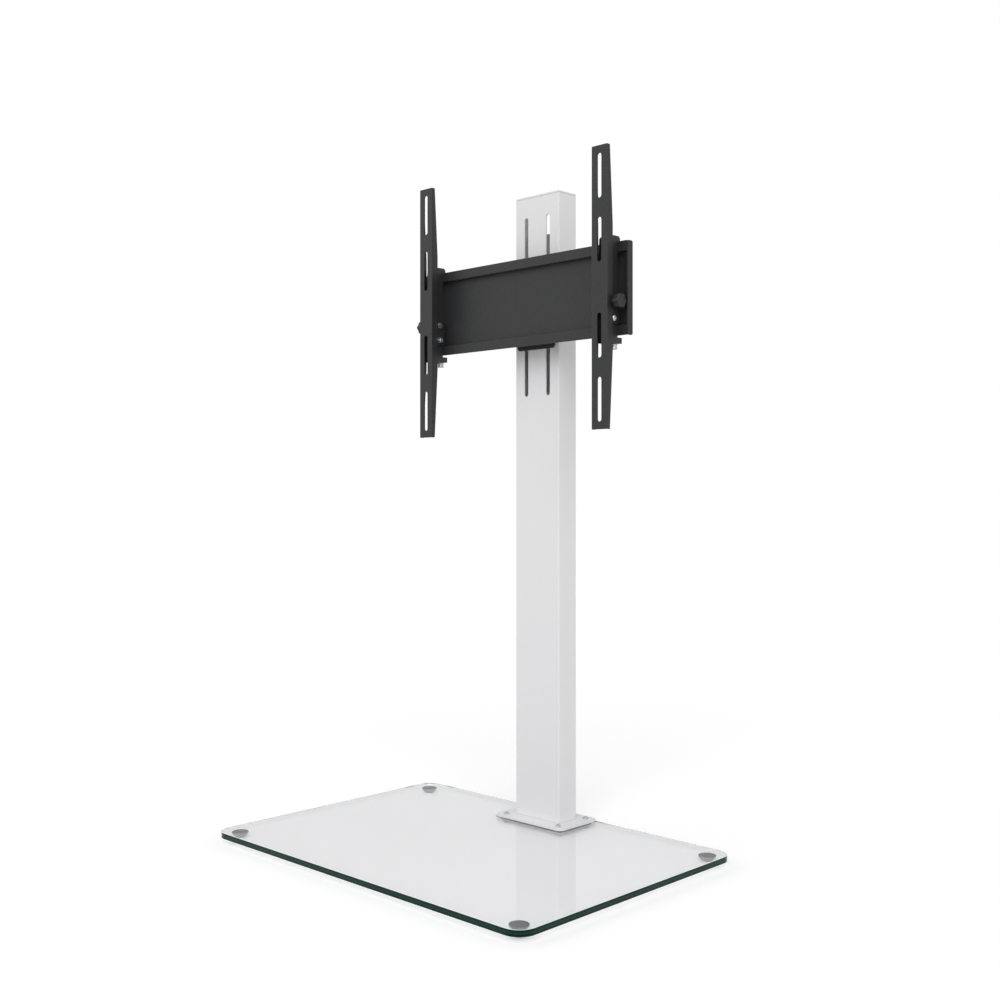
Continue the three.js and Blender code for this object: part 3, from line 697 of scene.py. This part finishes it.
SURFACES = {
    "white_coat": ("White powder coat", *powder_coat(0.38, 0.52, 0.06 * MM)),
    "black_coat": ("Black powder coat", *powder_coat(0.42, 0.58, 0.10 * MM)),
    "white_plastic": ("White plastic", *moulding(0.45, 0.58, 0.05 * MM)),
    "black_plastic": ("Black plastic", *moulding(0.38, 0.55, 0.06 * MM)),
    "gasket": ("Gasket rubber", (300, 4, 0.25), (500, 2, 0.7, 0.9), (900, 4, 0.08 * MM, 0.6)),
    "nylon": (
        "Nylon", (120, 2, 0.04), (700, 2, 0.38, 0.55), (1500, 2, 0.02 * MM, 0.4),
        milky(0.15, 2 * MM),
    ),
    # Bright zinc: cloudy crystals with a hint of blue
    "zinc": (
        "Zinc plate", (260, 5, 0.14), (420, 4, 0.24, 0.44), (1400, 3, 0.02 * MM, 0.5),
        {"Metallic": 1},
    ),
    # Satin metal with fine marks from polishing
    "foot_disc": (
        "Foot disc metal", (200, 4, 0.06), (500, 3, 0.3, 0.46), (1100, 3, 0.015 * MM, 0.4),
        {"Specular IOR Level": 0.1}, (6, 8),
    ),
    "foot_cone": (
        "Soft foot plastic", (90, 2, 0.04), (600, 2, 0.42, 0.6), (1200, 2, 0.03 * MM, 0.4),
        {"Specular IOR Level": 0.3, **milky(0.3, 3 * MM)},
    ),
    "glass": ("Clear glass", None, (40, 4, 0, 0.012), (7, 0, 0.02 * MM, 0.3), clear(1)),
    # The edge sends back little light, all of it green, except at grazing angles, and a painted
    # highlight runs along its middle
    "glass_edge": (
        "Polished glass edge", (14, 3, 0.7), (40, 4, 0, 0.012), (160, 0, 0.01 * MM, 0.3),
        clear(0.95),
    ),
    # The chamfers are ground, not polished, and scatter the light
    "glass_arris": (
        "Ground glass", (30, 4, 0.05), (500, 2, 0.28, 0.42), (1500, 3, 0.02 * MM, 0.4),
        {"IOR": GLASS_IOR},
    ),
}


@functools.cache
def finish(slot):
    """The material of a slot, made when it is first needed."""
    material = surface(slot, *SURFACES[slot])
    if slot in ("glass", "glass_edge"):
        fill_with_glass(material.node_tree)
    if slot == "glass_edge":
        paint_edge_highlight(material.node_tree, *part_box("glass_base"))
    return material


def fill_with_glass(tree):
    """Lets lamps through and takes a little of each colour on the way through the body."""
    shader, output = tree.nodes["Principled BSDF"], tree.nodes["Material Output"].inputs
    lamp = add_node(tree, "LightPath", {}).outputs["Is Shadow Ray"]
    open_side = add_node(tree, "BsdfTransparent", {"Color": grey(SHADOW_LIGHT)})
    mix = add_node(tree, "MixShader", {"Fac": lamp, 1: shader, 2: open_side})
    feed(tree, output["Surface"], mix)
    tint = {"Color": (*colours().glass_tint, 1), "Density": GLASS_DENSITY}
    feed(tree, output["Volume"], add_node(tree, "VolumeAbsorption", tint))


def paint_edge_highlight(tree, low, high):
    """Paints a highlight along the edge's middle, where it mirrors all of its tint, and paints
    shade towards its top and bottom borders, where it mirrors less.
    """
    place = add_node(tree, "TexCoord", {}).outputs["Object"]
    height = add_node(tree, "SeparateXYZ", {"Vector": place}).outputs["Z"]
    level = {"Value": height, "From Min": low.z, "From Max": high.z}
    ramp = add_node(tree, "ValToRGB", {"Fac": add_node(tree, "MapRange", level)})
    gloss = colours().edge_mirror_and_highlight
    # Painted shade at the top and bottom borders, and a painted highlight at the middle stop
    for stop in ramp.color_ramp.elements:
        stop.color = (*(part * PAINTED_BORDER_SHADE for part in gloss), 1)
    ramp.color_ramp.elements.new(0.5).color = (*gloss, 1)
    feed(tree, tree.nodes["Principled BSDF"].inputs["Specular Tint"], ramp)


# Floor, sky and lamps


def computed(tree, operation, a, b):
    return add_node(tree, "Math", {0: a, 1: b}, operation=operation)


def seen(tree):
    """1 where the camera looks straight or through glass, less in a mirror, and 0 elsewhere."""
    path = add_node(tree, "LightPath", {}).outputs
    mirrored_part = computed(tree, "MULTIPLY", path["Is Glossy Ray"], MIRROR_SHARE)
    larger = computed(tree, "MAXIMUM", path["Is Camera Ray"], mirrored_part)
    return computed(tree, "MAXIMUM", larger, path["Is Transmission Ray"])


def lay_floor(settings):
    """A pale floor that glows where it is seen."""
    bpy.ops.mesh.primitive_plane_add(size=settings.floor_size, location=(0, 0, 0))
    floor = bpy.context.object
    floor.name = "studio_floor"
    material = bpy.data.materials.new("Studio floor")
    material.use_nodes = True
    tree = material.node_tree
    tree.nodes.remove(tree.nodes["Principled BSDF"])
    paper = add_node(tree, "BsdfDiffuse", {"Color": grey(settings.floor_shade)})
    strength = computed(tree, "MULTIPLY", seen(tree), settings.floor_glow)
    glow = add_node(tree, "Emission", {"Strength": strength})
    total = add_node(tree, "AddShader", {0: paper, 1: glow})
    feed(tree, tree.nodes["Material Output"].inputs["Surface"], total)
    floor.data.materials.append(material)


def paint_sky(settings):
    """Even light from all round, and plain white where it is seen."""
    world = bpy.data.worlds.new("Studio sky")
    world.use_nodes = True
    bpy.context.scene.world = world
    tree = world.node_tree
    even = tree.nodes["Background"]
    feed(tree, even.inputs["Color"], grey(1))
    feed(tree, even.inputs["Strength"], settings.sky_strength)
    white = add_node(tree, "Background", {"Color": grey(1)})
    mix = add_node(tree, "MixShader", {"Fac": seen(tree), 1: even, 2: white})
    feed(tree, tree.nodes["World Output"].inputs["Surface"], mix)


def hang_lamps(settings):
    """Two broad soft lights far off, one beside the camera and one on the left."""
    for name in ("key", "fill"):
        turn = getattr(settings, f"{name}_direction").to_track_quat("Z", "Y").to_euler()
        bpy.ops.object.light_add(type="SUN", rotation=turn)
        lamp = bpy.context.object
        lamp.name = f"{name}_light"
        lamp.data.angle = settings.light_spread
        lamp.data.energy = pi * getattr(settings, f"{name}_level")


# Plates, and fasteners that stand on Z = 0


def thread(radius, start, end, pitch=THREAD_PITCH, depth=THREAD_DEPTH):
    """Profile of a thread's ridges between two heights."""
    count = 2 * int((end - start) / pitch)
    step = (end - start) / count
    return [(radius - depth * (i % 2), start + i * step) for i in range(count + 1)]


def threaded_end(shaft, threaded):
    """Profile of a bolt's chamfered tip and its thread."""
    tip = shaft / 4
    return [(0, 0), (shaft - tip, 0), *thread(shaft, tip, tip + threaded)]


def button_bolt(shaft, length, threaded, head, rise, socket, depth):
    """A bolt with a round socket head on top of its shaft."""
    lip, top = rise / 4, length + rise
    quarter = arc(0, 0, 1, 0, QUARTER)[:-1]
    dome = [(head * x, length + lip + (rise - lip) * z) for x, z in quarter]
    body = turned([
        *threaded_end(shaft, threaded), (shaft, length), (head - lip / 2, length),
        (head, length + lip / 2), *dome, (0, top),
    ])
    key_hole = rod(socket, top - depth, top + OVERRUN, sides=HEX_SIDES)
    return softened(cut(body, key_hole), BUTTON_TRIM)


def hexed(profile, radius, bottom, top):
    """The part of a turned shape that lies inside a hexagonal bar."""
    bar = rod(radius, bottom - OVERRUN, top + OVERRUN, sides=HEX_SIDES)
    return combined(turned(profile), [bar], "INTERSECT")


def hex_nut(node, bore):
    """A nut of a node's size with chamfered corners and bore."""
    radius, height = span(node).y / 2, min(span(node))
    flat = radius * HEX_FLAT
    chamfer = (radius - flat) / 2
    lower = [(bore, chamfer), (bore + chamfer, 0), (flat, 0), (radius, chamfer)]
    outline = [*lower, *((x, height - z) for x, z in lower[::-1]), lower[0]]
    return softened(hexed(outline, radius, 0, height), HEX_TRIM)


def hex_bolt(node, shaft, threaded, rise):
    """A bolt of a node's size whose top is a chamfered hexagonal head."""
    radius, top = span(node).y / 2, max(span(node))
    flat, seat, end = radius * HEX_FLAT, top - rise, top - rise / 2
    head = [(0, seat), (radius, seat), (radius, top - (radius - flat) / 2), (flat, top), (0, top)]
    stem = turned([*threaded_end(shaft, threaded), (shaft, end), (0, end)])
    return softened(joined(hexed(head, radius, seat, top), stem), HEX_TRIM)


def ring(node, bore, width):
    """A sleeve or washer of a node's size with edges rounded to a width."""
    radius, top = span(node).y / 2, span(node).z
    section = [(bore, 0), (radius, 0), (radius, top), (bore, top), (bore, 0)]
    return softened(turned(section), width)


def plate(low, high, axis, corner, holes, hole_radius):
    """A flat plate across an axis, with rounded corners and bolt holes."""
    index = "XYZ".index(axis)
    piece = round_edges(block(low, high), axis, corner)
    return drilled(piece, hole_radius, low[index], high[index], axis, *holes)


# Operators


class STAND_OT_stage(Operator):
    """Sets the camera, the pale floor and the soft studio light"""

    bl_idname = "stand.stage"
    bl_label = "Stage"

    def execute(self, context):
        settings = context.scene.stage_settings
        turn = (QUARTER, 0, settings.camera_turn)
        bpy.ops.object.camera_add(location=settings.camera_place, rotation=turn)
        context.scene.camera = context.object
        camera = context.object.data
        camera.lens = settings.lens
        camera.shift_x, camera.shift_y = settings.lens_shift
        context.scene.view_settings.view_transform = "Standard"
        lay_floor(settings)
        paint_sky(settings)
        hang_lamps(settings)
        return {"FINISHED"}


class STAND_OT_glass(Operator):
    """Models the toughened glass plate with its polished edges and bolt holes"""

    bl_idname = "stand.glass"
    bl_label = "Glass base"

    def execute(self, context):
        box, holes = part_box("glass_base"), centres(at_corners("flange_bolt"))
        piece = plate(*box, "Z", stand().glass_corner, holes, GLASS_HOLE)
        softened(piece, stand().glass_arris, 1)
        dressed(piece, "glass_base", "glass", GLASS_ANGLE)
        for slot in ("glass_edge", "glass_arris"):
            piece.data.materials.append(finish(slot))
        for face in piece.data.polygons:
            lean = abs(face.normal.z)
            face.material_index = 0 if lean > ALONG else 1 if lean < ACROSS else 2
        return {"FINISHED"}


class STAND_OT_feet(Operator):
    """Turns the feet: a metal disc under the glass and a soft sole below it"""

    bl_idname = "stand.feet"
    bl_label = "Feet"

    def execute(self, context):
        discs, cones = at_corners("foot_disc"), at_corners("foot_cone")
        radius, ease = span(discs[0]).x / 2, FOOT_EASE
        top = span(discs[0]).z + FOOT_GLUE
        disc = turned([
            (0, 0), (radius - ease / 2, 0), (radius, ease / 2),
            *arc(radius - ease, top - ease, ease, 0, QUARTER, SMOOTH_STEPS), (0, top),
        ])
        stood(softened(disc, DISC_TRIM), discs, "foot_disc")

        radius, top = span(cones[0]).x / 2, span(cones[0]).z
        groove, spread = top * GROOVE_SHARE, 2 * FOOT_GROOVE

        def wall(z, inset=0):
            """A point on the sloping wall at a height, or inset from it."""
            return SOLE + (radius - SOLE) * z / top - inset, z

        foot = SOLE - SOLE_EASE
        cone = turned([
            (0, SOLE_DISH), (SOLE * DISH_SHARE, SOLE_DISH),
            (SOLE * RING_SHARE, 0),
            *arc(foot, SOLE_EASE, SOLE_EASE, -QUARTER, 0, BEND_STEPS),
            wall(groove - spread), wall(groove, FOOT_GROOVE), wall(groove + spread),
            (radius, top - FOOT_EASE), (radius - FOOT_EASE, top), (0, top),
        ])
        stood(softened(cone, HEX_TRIM), cones, "foot_cone")
        return {"FINISHED"}


class STAND_OT_flange(Operator):
    """Models the flange plate, the counter plate under the glass and their gaskets"""

    bl_idname = "stand.flange"
    bl_label = "Flange plates and gaskets"

    def execute(self, context):
        flange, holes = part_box("flange_plate")[0], centres(at_corners("flange_bolt"))
        for node, slot, ease, steps in (
            ("flange_plate", "white_coat", PLATE_EASE, FINE_STEPS),
            ("counter_plate", "white_coat", PLATE_EASE, FINE_STEPS),
            ("flange_gasket", "gasket", GASKET_EASE, EASE_STEPS),
            ("under_gasket", "nylon", GASKET_EASE, EASE_STEPS),
        ):
            low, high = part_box(node)
            corner = stand().flange_corner - (low.x - flange.x)
            piece = plate(low, high, "Z", corner, holes, M6_BORE)
            dressed(softened(piece, ease, steps), node, slot)
        return {"FINISHED"}


class STAND_OT_bolts(Operator):
    """Models the flange bolts, their nuts and the nylon sleeves round them"""

    bl_idname = "stand.bolts"
    bl_label = "Flange bolts, nuts and sleeves"

    def execute(self, context):
        bolts, nuts, sleeves = map(at_corners, ("flange_bolt", "flange_nut", "bolt_sleeve"))
        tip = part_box(bolts[0])[0].z
        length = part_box("flange_plate")[1].z + GAP - tip
        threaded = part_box(nuts[0])[1].z - tip
        stood(button_bolt(FLANGE_SHAFT, length, threaded, *FLANGE_HEAD), bolts, "zinc")
        stood(hex_nut(nuts[0], M6_BORE), nuts, "zinc")
        stood(ring(sleeves[0], M6_BORE, SLEEVE_TRIM), sleeves, "nylon")
        return {"FINISHED"}


class STAND_OT_column(Operator):
    """Folds the column from sheet steel and cuts its two slots"""

    bl_idname = "stand.column"
    bl_label = "Column"

    def execute(self, context):
        wall = stand().sheet_wall
        low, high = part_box("column")
        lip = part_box("rear_cable_cover")[1].x + GAP
        piece = block(low, high)
        for x in (-lip, lip):
            edit(piece, "faces", lambda middle, normal: normal.y > ALONG)
            bpy.ops.mesh.bisect(plane_co=(x, 0, 0), plane_no=(1, 0, 0))
            done_editing()

        def open_face(middle, normal):
            return abs(normal.z) > ALONG or (normal.y > ALONG and abs(middle.x) < lip)

        edit(piece, "faces", open_face)
        bpy.ops.mesh.delete(type="FACE")
        done_editing()
        modified(piece, "SOLIDIFY", thickness=wall, offset=-1, use_even_offset=True)
        face_outwards(piece)

        def outer_corner(middle):
            at_side = abs(abs(middle.x) - high.x) < NEAR
            return at_side and min(middle.y - low.y, high.y - middle.y) < NEAR

        round_edges(piece, "Z", stand().column_corner, where=outer_corner)
        middle = centre("height_carriage").z
        bottom, top = middle - SLOT_REACH, middle + SLOT_REACH
        for bolt in centres(CLAMP_BOLTS[:2]):
            upright_slot(piece, CLAMP_HOLE, bolt.x, bottom, top, low.y, low.y + wall)
        dressed(softened(piece), "column", "white_coat")
        return {"FINISHED"}


class STAND_OT_cover(Operator):
    """Draws the section of the rear cable cover and pulls it to its length"""

    bl_idname = "stand.cover"
    bl_label = "Rear cable cover"

    def execute(self, context):
        low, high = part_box("rear_cable_cover")
        side, back = high.x - COVER_WALL, high.y - COVER_WALL
        right = [(side, back), (side, low.y), (high.x, low.y), (high.x, high.y)]
        section = right + [(-x, y) for x, y in right[::-1]]
        piece = softened(drawn(section, "Z", low.z, high.z), COVER_EASE, FINE_STEPS)
        dressed(piece, "rear_cable_cover", "white_plastic")
        return {"FINISHED"}


class STAND_OT_cap(Operator):
    """Models the cap with its rounded lid and the skirt that plugs the column"""

    bl_idname = "stand.cap"
    bl_label = "Column cap"

    def execute(self, context):
        low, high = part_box("column_cap")
        lid_bottom = high.z - THICK_WALL

        def inner(inset, bottom, top):
            """A block that stands in from the cap's sides."""
            inset = Vector((inset, inset, 0))
            return block((*(low + inset).xy, bottom), (*(high - inset).xy, top))

        piece = round_edges(inner(0, lid_bottom, high.z), "Z", stand().column_corner)
        edit(piece, "edges", lambda a, b: min(a.z, b.z) > high.z - NEAR)
        bpy.ops.mesh.bevel(offset=CAP_EASE, segments=SMOOTH_STEPS)
        done_editing()
        skirt = inner(CAP_INSET, low.z, lid_bottom + MM)
        hollow = inner(CAP_INSET + COVER_WALL, low.z - OVERRUN, lid_bottom)
        joined(piece, cut(skirt, hollow))
        dressed(softened(piece, TRIM), "column_cap", "white_plastic")
        return {"FINISHED"}


class STAND_OT_carriage(Operator):
    """Models the carriage plate with its two hinge ears"""

    bl_idname = "stand.carriage"
    bl_label = "Height carriage"

    def execute(self, context):
        low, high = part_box("height_carriage")
        axis = centre("hinge_bolt")
        front, back = high.y - CARRIAGE_WALL, high.y - CARRIAGE_WALL / 2
        corner = (low.x, front, low.z)
        piece = plate(corner, high, "Y", PLATE_CORNER, centres(CLAMP_BOLTS), CLAMP_HOLE)
        outline = [
            (EAR_BASE, back), (EAR_BASE, front),
            *arc(axis.x, axis.y, EAR_TIP, 0, -pi, 2 * ARC_STEPS),
            (-EAR_BASE, front), (-EAR_BASE, back),
        ]
        middle = centre("height_carriage").z
        for bottom in (middle + EAR_BOTTOM, middle - EAR_BOTTOM - EAR_WALL):
            top = bottom + EAR_WALL
            ear = drawn(outline, "Z", bottom, top)
            joined(piece, drilled(ear, M8_BORE, bottom, top, "Z", axis))
        dressed(softened(piece), "height_carriage", "black_coat")
        return {"FINISHED"}


class STAND_OT_clamp(Operator):
    """Models the plate inside the column and the four bolts that clamp it"""

    bl_idname = "stand.clamp"
    bl_label = "Clamp plate and bolts"

    def execute(self, context):
        low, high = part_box("clamp_plate")
        holes = centres(CLAMP_BOLTS)
        piece = plate(low, high, "Y", PLATE_CORNER, holes, M8_BORE)
        dressed(softened(piece), "clamp_plate", "zinc")

        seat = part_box("height_carriage")[1].y - CARRIAGE_WALL - GAP
        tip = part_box(CLAMP_BOLTS[0])[1].y
        bolt = button_bolt(M8_SHAFT, tip - seat, tip - low.y, *CLAMP_HEAD)
        placed(bolt, (holes[0].x, tip, holes[0].z), (QUARTER, 0, 0))
        dressed_copies(bolt, CLAMP_BOLTS, "zinc")
        return {"FINISHED"}


class STAND_OT_swivel(Operator):
    """Models the swivel bracket, its hinge bolt and nut and the thrust washers"""

    bl_idname = "stand.swivel"
    bl_label = "Swivel hinge"

    def execute(self, context):
        low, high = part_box("swivel_bracket")
        axis = centre("hinge_bolt")
        bottom, top = low.z + WELD_INSET, high.z - WELD_INSET
        barrel = rod(BARREL, low.z, high.z, "Z", axis, ROUND_SIDES)
        rib = block((-RIB_WIDTH / 2, low.y + MM, bottom), (RIB_WIDTH / 2, axis.y, top))
        weld_plate = block((low.x, low.y, bottom), (high.x, low.y + THICK_WALL, top))
        piece = drilled(joined(barrel, rib, weld_plate), M8_BORE, low.z, high.z, "Z", axis)
        dressed(softened(piece), "swivel_bracket", "black_coat")

        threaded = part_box("hinge_nut")[1].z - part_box("hinge_bolt")[0].z
        bolt = hex_bolt("hinge_bolt", M8_SHAFT, threaded, HINGE_RISE)
        stood(bolt, ["hinge_bolt"], "zinc")
        stood(hex_nut("hinge_nut", M8_BORE), ["hinge_nut"], "zinc")
        washers = ["thrust_washer_upper", "thrust_washer_lower"]
        stood(ring(washers[0], M8_BORE, TRIM), washers, "nylon")
        return {"FINISHED"}


class STAND_OT_rail(Operator):
    """Draws the rail's folded section and pulls it to its length"""

    bl_idname = "stand.rail"
    bl_label = "Mount rail"

    def execute(self, context):
        wall = stand().sheet_wall
        low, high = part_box("mount_rail")
        shelf, lip_back = high.z - RAIL_LIP, low.y + wall
        upper = [
            (high.y, shelf), (lip_back, shelf), (lip_back, high.z), (low.y, high.z),
            (low.y, shelf - wall), (high.y - wall, shelf - wall),
        ]
        section = upper + [(y, low.z + high.z - z) for y, z in upper[::-1]]

        def bend(middle):
            at_lip = middle.y - low.y < NEAR and low.z + RAIL_LIP < middle.z < shelf
            return at_lip or high.y - middle.y < NEAR

        piece = drawn(section, "X", low.x, high.x)
        round_edges(piece, "X", stand().bend_radius, BEND_STEPS, bend)
        dressed(softened(piece), "mount_rail", "black_coat")
        return {"FINISHED"}


class STAND_OT_rail_ends(Operator):
    """Models the plastic stops that close the rail's ends"""

    bl_idname = "stand.rail_ends"
    bl_label = "Rail ends"

    def execute(self, context):
        wall = stand().sheet_wall
        low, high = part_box("rail_end_right")
        cap = block((high.x - THICK_WALL, low.y, low.z), high)
        round_edges(cap, "X", END_CORNER)
        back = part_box("mount_rail")[1].y - wall - GAP
        reach = RAIL_LIP + wall + GAP
        tongue = block(
            (low.x, back - RAIL_TONGUE, low.z + reach),
            (high.x - THICK_WALL / 2, back, high.z - reach),
        )
        piece = softened(joined(cap, tongue), END_EASE, FINE_STEPS)
        dressed_pair(piece, "rail_end", "black_plastic")
        return {"FINISHED"}


class STAND_OT_hooks(Operator):
    """Models the folded brackets that hook over the rail"""

    bl_idname = "stand.hooks"
    bl_label = "Hook brackets"

    def execute(self, context):
        wall = stand().sheet_wall
        low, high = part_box("hook_bracket_right")
        rail_low, rail_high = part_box("mount_rail")
        pivot, stud, lock = centres(("pivot_bolt_right", "tilt_stud_right", "lock_screw_right"))
        hook_top = rail_high.z + GAP
        slot_front = rail_low.y - GAP
        slot_back = rail_low.y + wall + HOOK_SLACK
        hook_back = slot_back + THICK_WALL
        tab_top = low.z + THICK_WALL
        cheek_top = tab_top + CHEEK_RISE
        foot = low.y + NOSE / 2
        top_front = rail_low.y - TOP_SETBACK
        outline = [
            (foot, low.z), (high.y, low.z), (high.y, cheek_top), (slot_front, cheek_top),
            (slot_front, hook_top), (slot_back, hook_top), (slot_back, hook_top - HOOK_REACH),
            (hook_back, hook_top - HOOK_REACH), (hook_back, high.z - CHAMFER),
            (hook_back - CHAMFER, high.z), (top_front + CHAMFER, high.z),
            (top_front, high.z - CHAMFER), (low.y, pivot.z + NOSE), (low.y, pivot.z - NOSE),
        ]
        roof, behind = high.z - wall, high.y + OVERRUN
        inside = [
            (foot + wall, tab_top), (behind, tab_top), (behind, roof),
            (top_front + wall + CHAMFER, roof), (top_front + wall, roof - CHAMFER),
            (low.y + wall, pivot.z + NOSE), (low.y + wall, pivot.z - NOSE),
        ]
        piece = drawn(outline, "X", low.x, high.x)
        cut(piece, drawn(inside, "X", low.x + wall, high.x - wall))
        drilled(piece, M6_BORE, low.x, high.x, "X", pivot, stud)
        drilled(piece, LOCK_HOLE, low.z, tab_top, "Z", lock)
        softened(piece, PLATE_EASE, FINE_STEPS)
        dressed_copies(piece, at_sides("hook_bracket"), "black_coat")
        return {"FINISHED"}


class STAND_OT_bars(Operator):
    """Models the tilting bars with their screw slots and clamp slots"""

    bl_idname = "stand.bars"
    bl_label = "Tilting bars"

    def execute(self, context):
        wall = stand().sheet_wall
        low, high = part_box("tilt_bar_right")
        middle, pivot, stud = centres(("tilt_bar_right", "pivot_bolt_right", "tilt_stud_right"))
        web_back = low.y + wall
        flange_back, end_back = web_back + BAR_DEPTH, web_back + END_DEPTH
        lobe_low, lobe_high = pivot.z - LOBE_BELOW, stud.z + LOBE_ABOVE
        corner, corner_y = PLATE_CORNER, high.y - PLATE_CORNER
        outline = [
            (low.y, low.z), (end_back, low.z), (flange_back, low.z + BAR_TAPER),
            (flange_back, lobe_low),
            *arc(corner_y, lobe_low + corner, corner, -QUARTER, 0),
            *arc(corner_y, lobe_high - corner, corner, 0, QUARTER),
            (flange_back, lobe_high), (flange_back, high.z - BAR_TAPER),
            (end_back, high.z), (low.y, high.z),
        ]
        piece = drawn(outline, "X", low.x, high.x)
        cut(piece, block(
            (low.x + wall, web_back, low.z - OVERRUN),
            (high.x - wall, high.y + OVERRUN, high.z + OVERRUN),
        ))

        def at_front(place):
            return place.y - low.y < NEAR

        round_edges(piece, "Z", stand().bend_radius, BEND_STEPS, at_front)
        drilled(piece, M6_BORE, low.x, high.x, "X", pivot)
        cut(piece, drawn(self.clamp_slot(pivot, stud), "X", low.x - OVERRUN, high.x + OVERRUN))
        for start in SLOT_STARTS:
            for bottom in (middle.z + start, middle.z - start - SLOT_LENGTH):
                top = bottom + SLOT_LENGTH
                upright_slot(piece, BAR_SLOT, middle.x, bottom, top, low.y, web_back)
        dressed_copies(softened(piece), at_sides("tilt_bar"), "black_coat")
        return {"FINISHED"}

    def clamp_slot(self, pivot, stud):
        """Outline of the curved slot that the clamp's stud runs in."""
        reach = stud.z - pivot.z
        start, end = QUARTER - TILT_DOWN, QUARTER + TILT_UP
        first, last = arc(pivot.y, pivot.z, reach, start, end, 1)
        return [
            *arc(pivot.y, pivot.z, reach + STUD_SLOT, start, end),
            *arc(*last, STUD_SLOT, end, end + pi)[1:-1],
            *arc(pivot.y, pivot.z, reach - STUD_SLOT, end, start),
            *arc(*first, STUD_SLOT, start + pi, start + CIRCLE)[1:-1],
        ]


class STAND_OT_pivots(Operator):
    """Models the bolts and nuts that the bars tilt on"""

    bl_idname = "stand.pivots"
    bl_label = "Pivot bolts and nuts"

    def execute(self, context):
        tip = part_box("pivot_bolt_right")[0].x
        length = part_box("tilt_bar_right")[1].x + GAP - tip
        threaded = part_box("pivot_nut_right")[1].x - tip
        bolt = button_bolt(M6_SHAFT, length, threaded, *PIVOT_HEAD)
        laid_pair(bolt, "pivot_bolt", "zinc")
        laid_pair(hex_nut("pivot_nut_right", M6_BORE), "pivot_nut", "zinc")
        return {"FINISHED"}


class STAND_OT_knobs(Operator):
    """Models the hand knobs and the studs that they turn on"""

    bl_idname = "stand.knobs"
    bl_label = "Tilt knobs and studs"

    def execute(self, context):
        stud = hex_bolt("tilt_stud_right", M6_SHAFT, KNOB_BORE, STUD_RISE)
        laid_pair(stud, "tilt_stud", "zinc", end=1)

        length, outer = span("tilt_knob_right").x, span("tilt_knob_right").y / 2
        steps = KNOB_LOBES * 2 * ARC_STEPS
        rim = []
        for i in range(steps):
            angle = CIRCLE * i / steps
            radius = outer - LOBE_DEPTH * (1 + cos(KNOB_LOBES * angle)) / 2
            rim.append((radius * cos(angle), radius * sin(angle)))
        grip = softened(drawn(rim, "Z", KNOB_NECK, length), KNOB_EASE, SMOOTH_STEPS)
        dish_bottom, above = length - DISH_DEPTH, length + OVERRUN
        dish = turned([
            (0, dish_bottom), (KNOB_DISH - DISH_DEPTH, dish_bottom),
            (KNOB_DISH, above), (0, above),
        ])
        hub = rod(KNOB_HUB, 0, KNOB_NECK + KNOB_EASE, sides=ROUND_SIDES)
        bore = rod(M6_BORE, -OVERRUN, KNOB_BORE)
        knob = softened(cut(joined(grip, hub), dish, bore), TRIM)
        laid_pair(knob, "tilt_knob", "black_plastic")
        return {"FINISHED"}


class STAND_OT_locks(Operator):
    """Models the knurled screws that lock the brackets on the rail"""

    bl_idname = "stand.locks"
    bl_label = "Lock screws"

    def execute(self, context):
        length, head = span("lock_screw_right").z, span("lock_screw_right").y / 2
        waist, top, band = head - LOCK_GROOVE, LOCK_HEAD, LOCK_HEAD / 5
        piece = turned([
            (0, LOCK_GROOVE), (waist * LOCK_DISH, LOCK_GROOVE), (waist * LOCK_RIM, 0),
            (waist, 0), (head, LOCK_GROOVE), (head, band), (waist, 2 * band),
            (waist, 3 * band), (head, 4 * band), (head, top), (LOCK_SHAFT, top),
            *thread(LOCK_SHAFT, top + MM, length - MM, *LOCK_THREAD),
            (LOCK_SHAFT * LOCK_TIP, length), (0, length),
        ], KNURL_SIDES)
        step = CIRCLE / KNURL_SIDES

        def groove(place):
            count = round(atan2(place.y, place.x) / step)
            return hypot(place.x, place.y) > head - NEAR and count % 2 == 0

        edit(piece, "points", groove)
        scale = 1 - KNURL_DEPTH / head
        bpy.ops.transform.resize(value=(scale, scale, 1), center_override=(0, 0, 0))
        done_editing()
        stood(piece, at_sides("lock_screw"), "zinc")
        return {"FINISHED"}


OPERATORS = (
    STAND_OT_stage, STAND_OT_glass, STAND_OT_feet, STAND_OT_flange, STAND_OT_bolts,
    STAND_OT_column, STAND_OT_cover, STAND_OT_cap, STAND_OT_carriage, STAND_OT_clamp,
    STAND_OT_swivel, STAND_OT_rail, STAND_OT_rail_ends, STAND_OT_hooks, STAND_OT_bars,
    STAND_OT_pivots, STAND_OT_knobs, STAND_OT_locks,
)

SETTINGS = {
    "stand_sizes": StandSizes,
    "stand_colours": StandColours,
    "stage_settings": StageSettings,
}


class STAND_PT_panel(Panel):
    """Lists the stand's settings and the steps that build it"""

    bl_idname = "STAND_PT_panel"
    bl_label = "Television stand"
    bl_space_type = "VIEW_3D"
    bl_region_type = "UI"
    bl_category = "Stand"

    def draw(self, context):
        for name, group in SETTINGS.items():
            box = self.layout.box()
            for key in group.__annotations__:
                box.prop(getattr(context.scene, name), key)
        for operator in OPERATORS:
            self.layout.operator(operator.bl_idname)


def register():
    for kind in (*SETTINGS.values(), *OPERATORS, STAND_PT_panel):
        bpy.utils.register_class(kind)
    for name, group in SETTINGS.items():
        setattr(bpy.types.Scene, name, bpy.props.PointerProperty(type=group))


def unregister():
    for name in SETTINGS:
        delattr(bpy.types.Scene, name)
    for kind in (STAND_PT_panel, *OPERATORS[::-1], *SETTINGS.values()):
        bpy.utils.unregister_class(kind)


def main():
    register()
    for operator in OPERATORS:
        getattr(bpy.ops.stand, operator.bl_idname.removeprefix("stand."))()


if __name__ == "__main__":
    main()
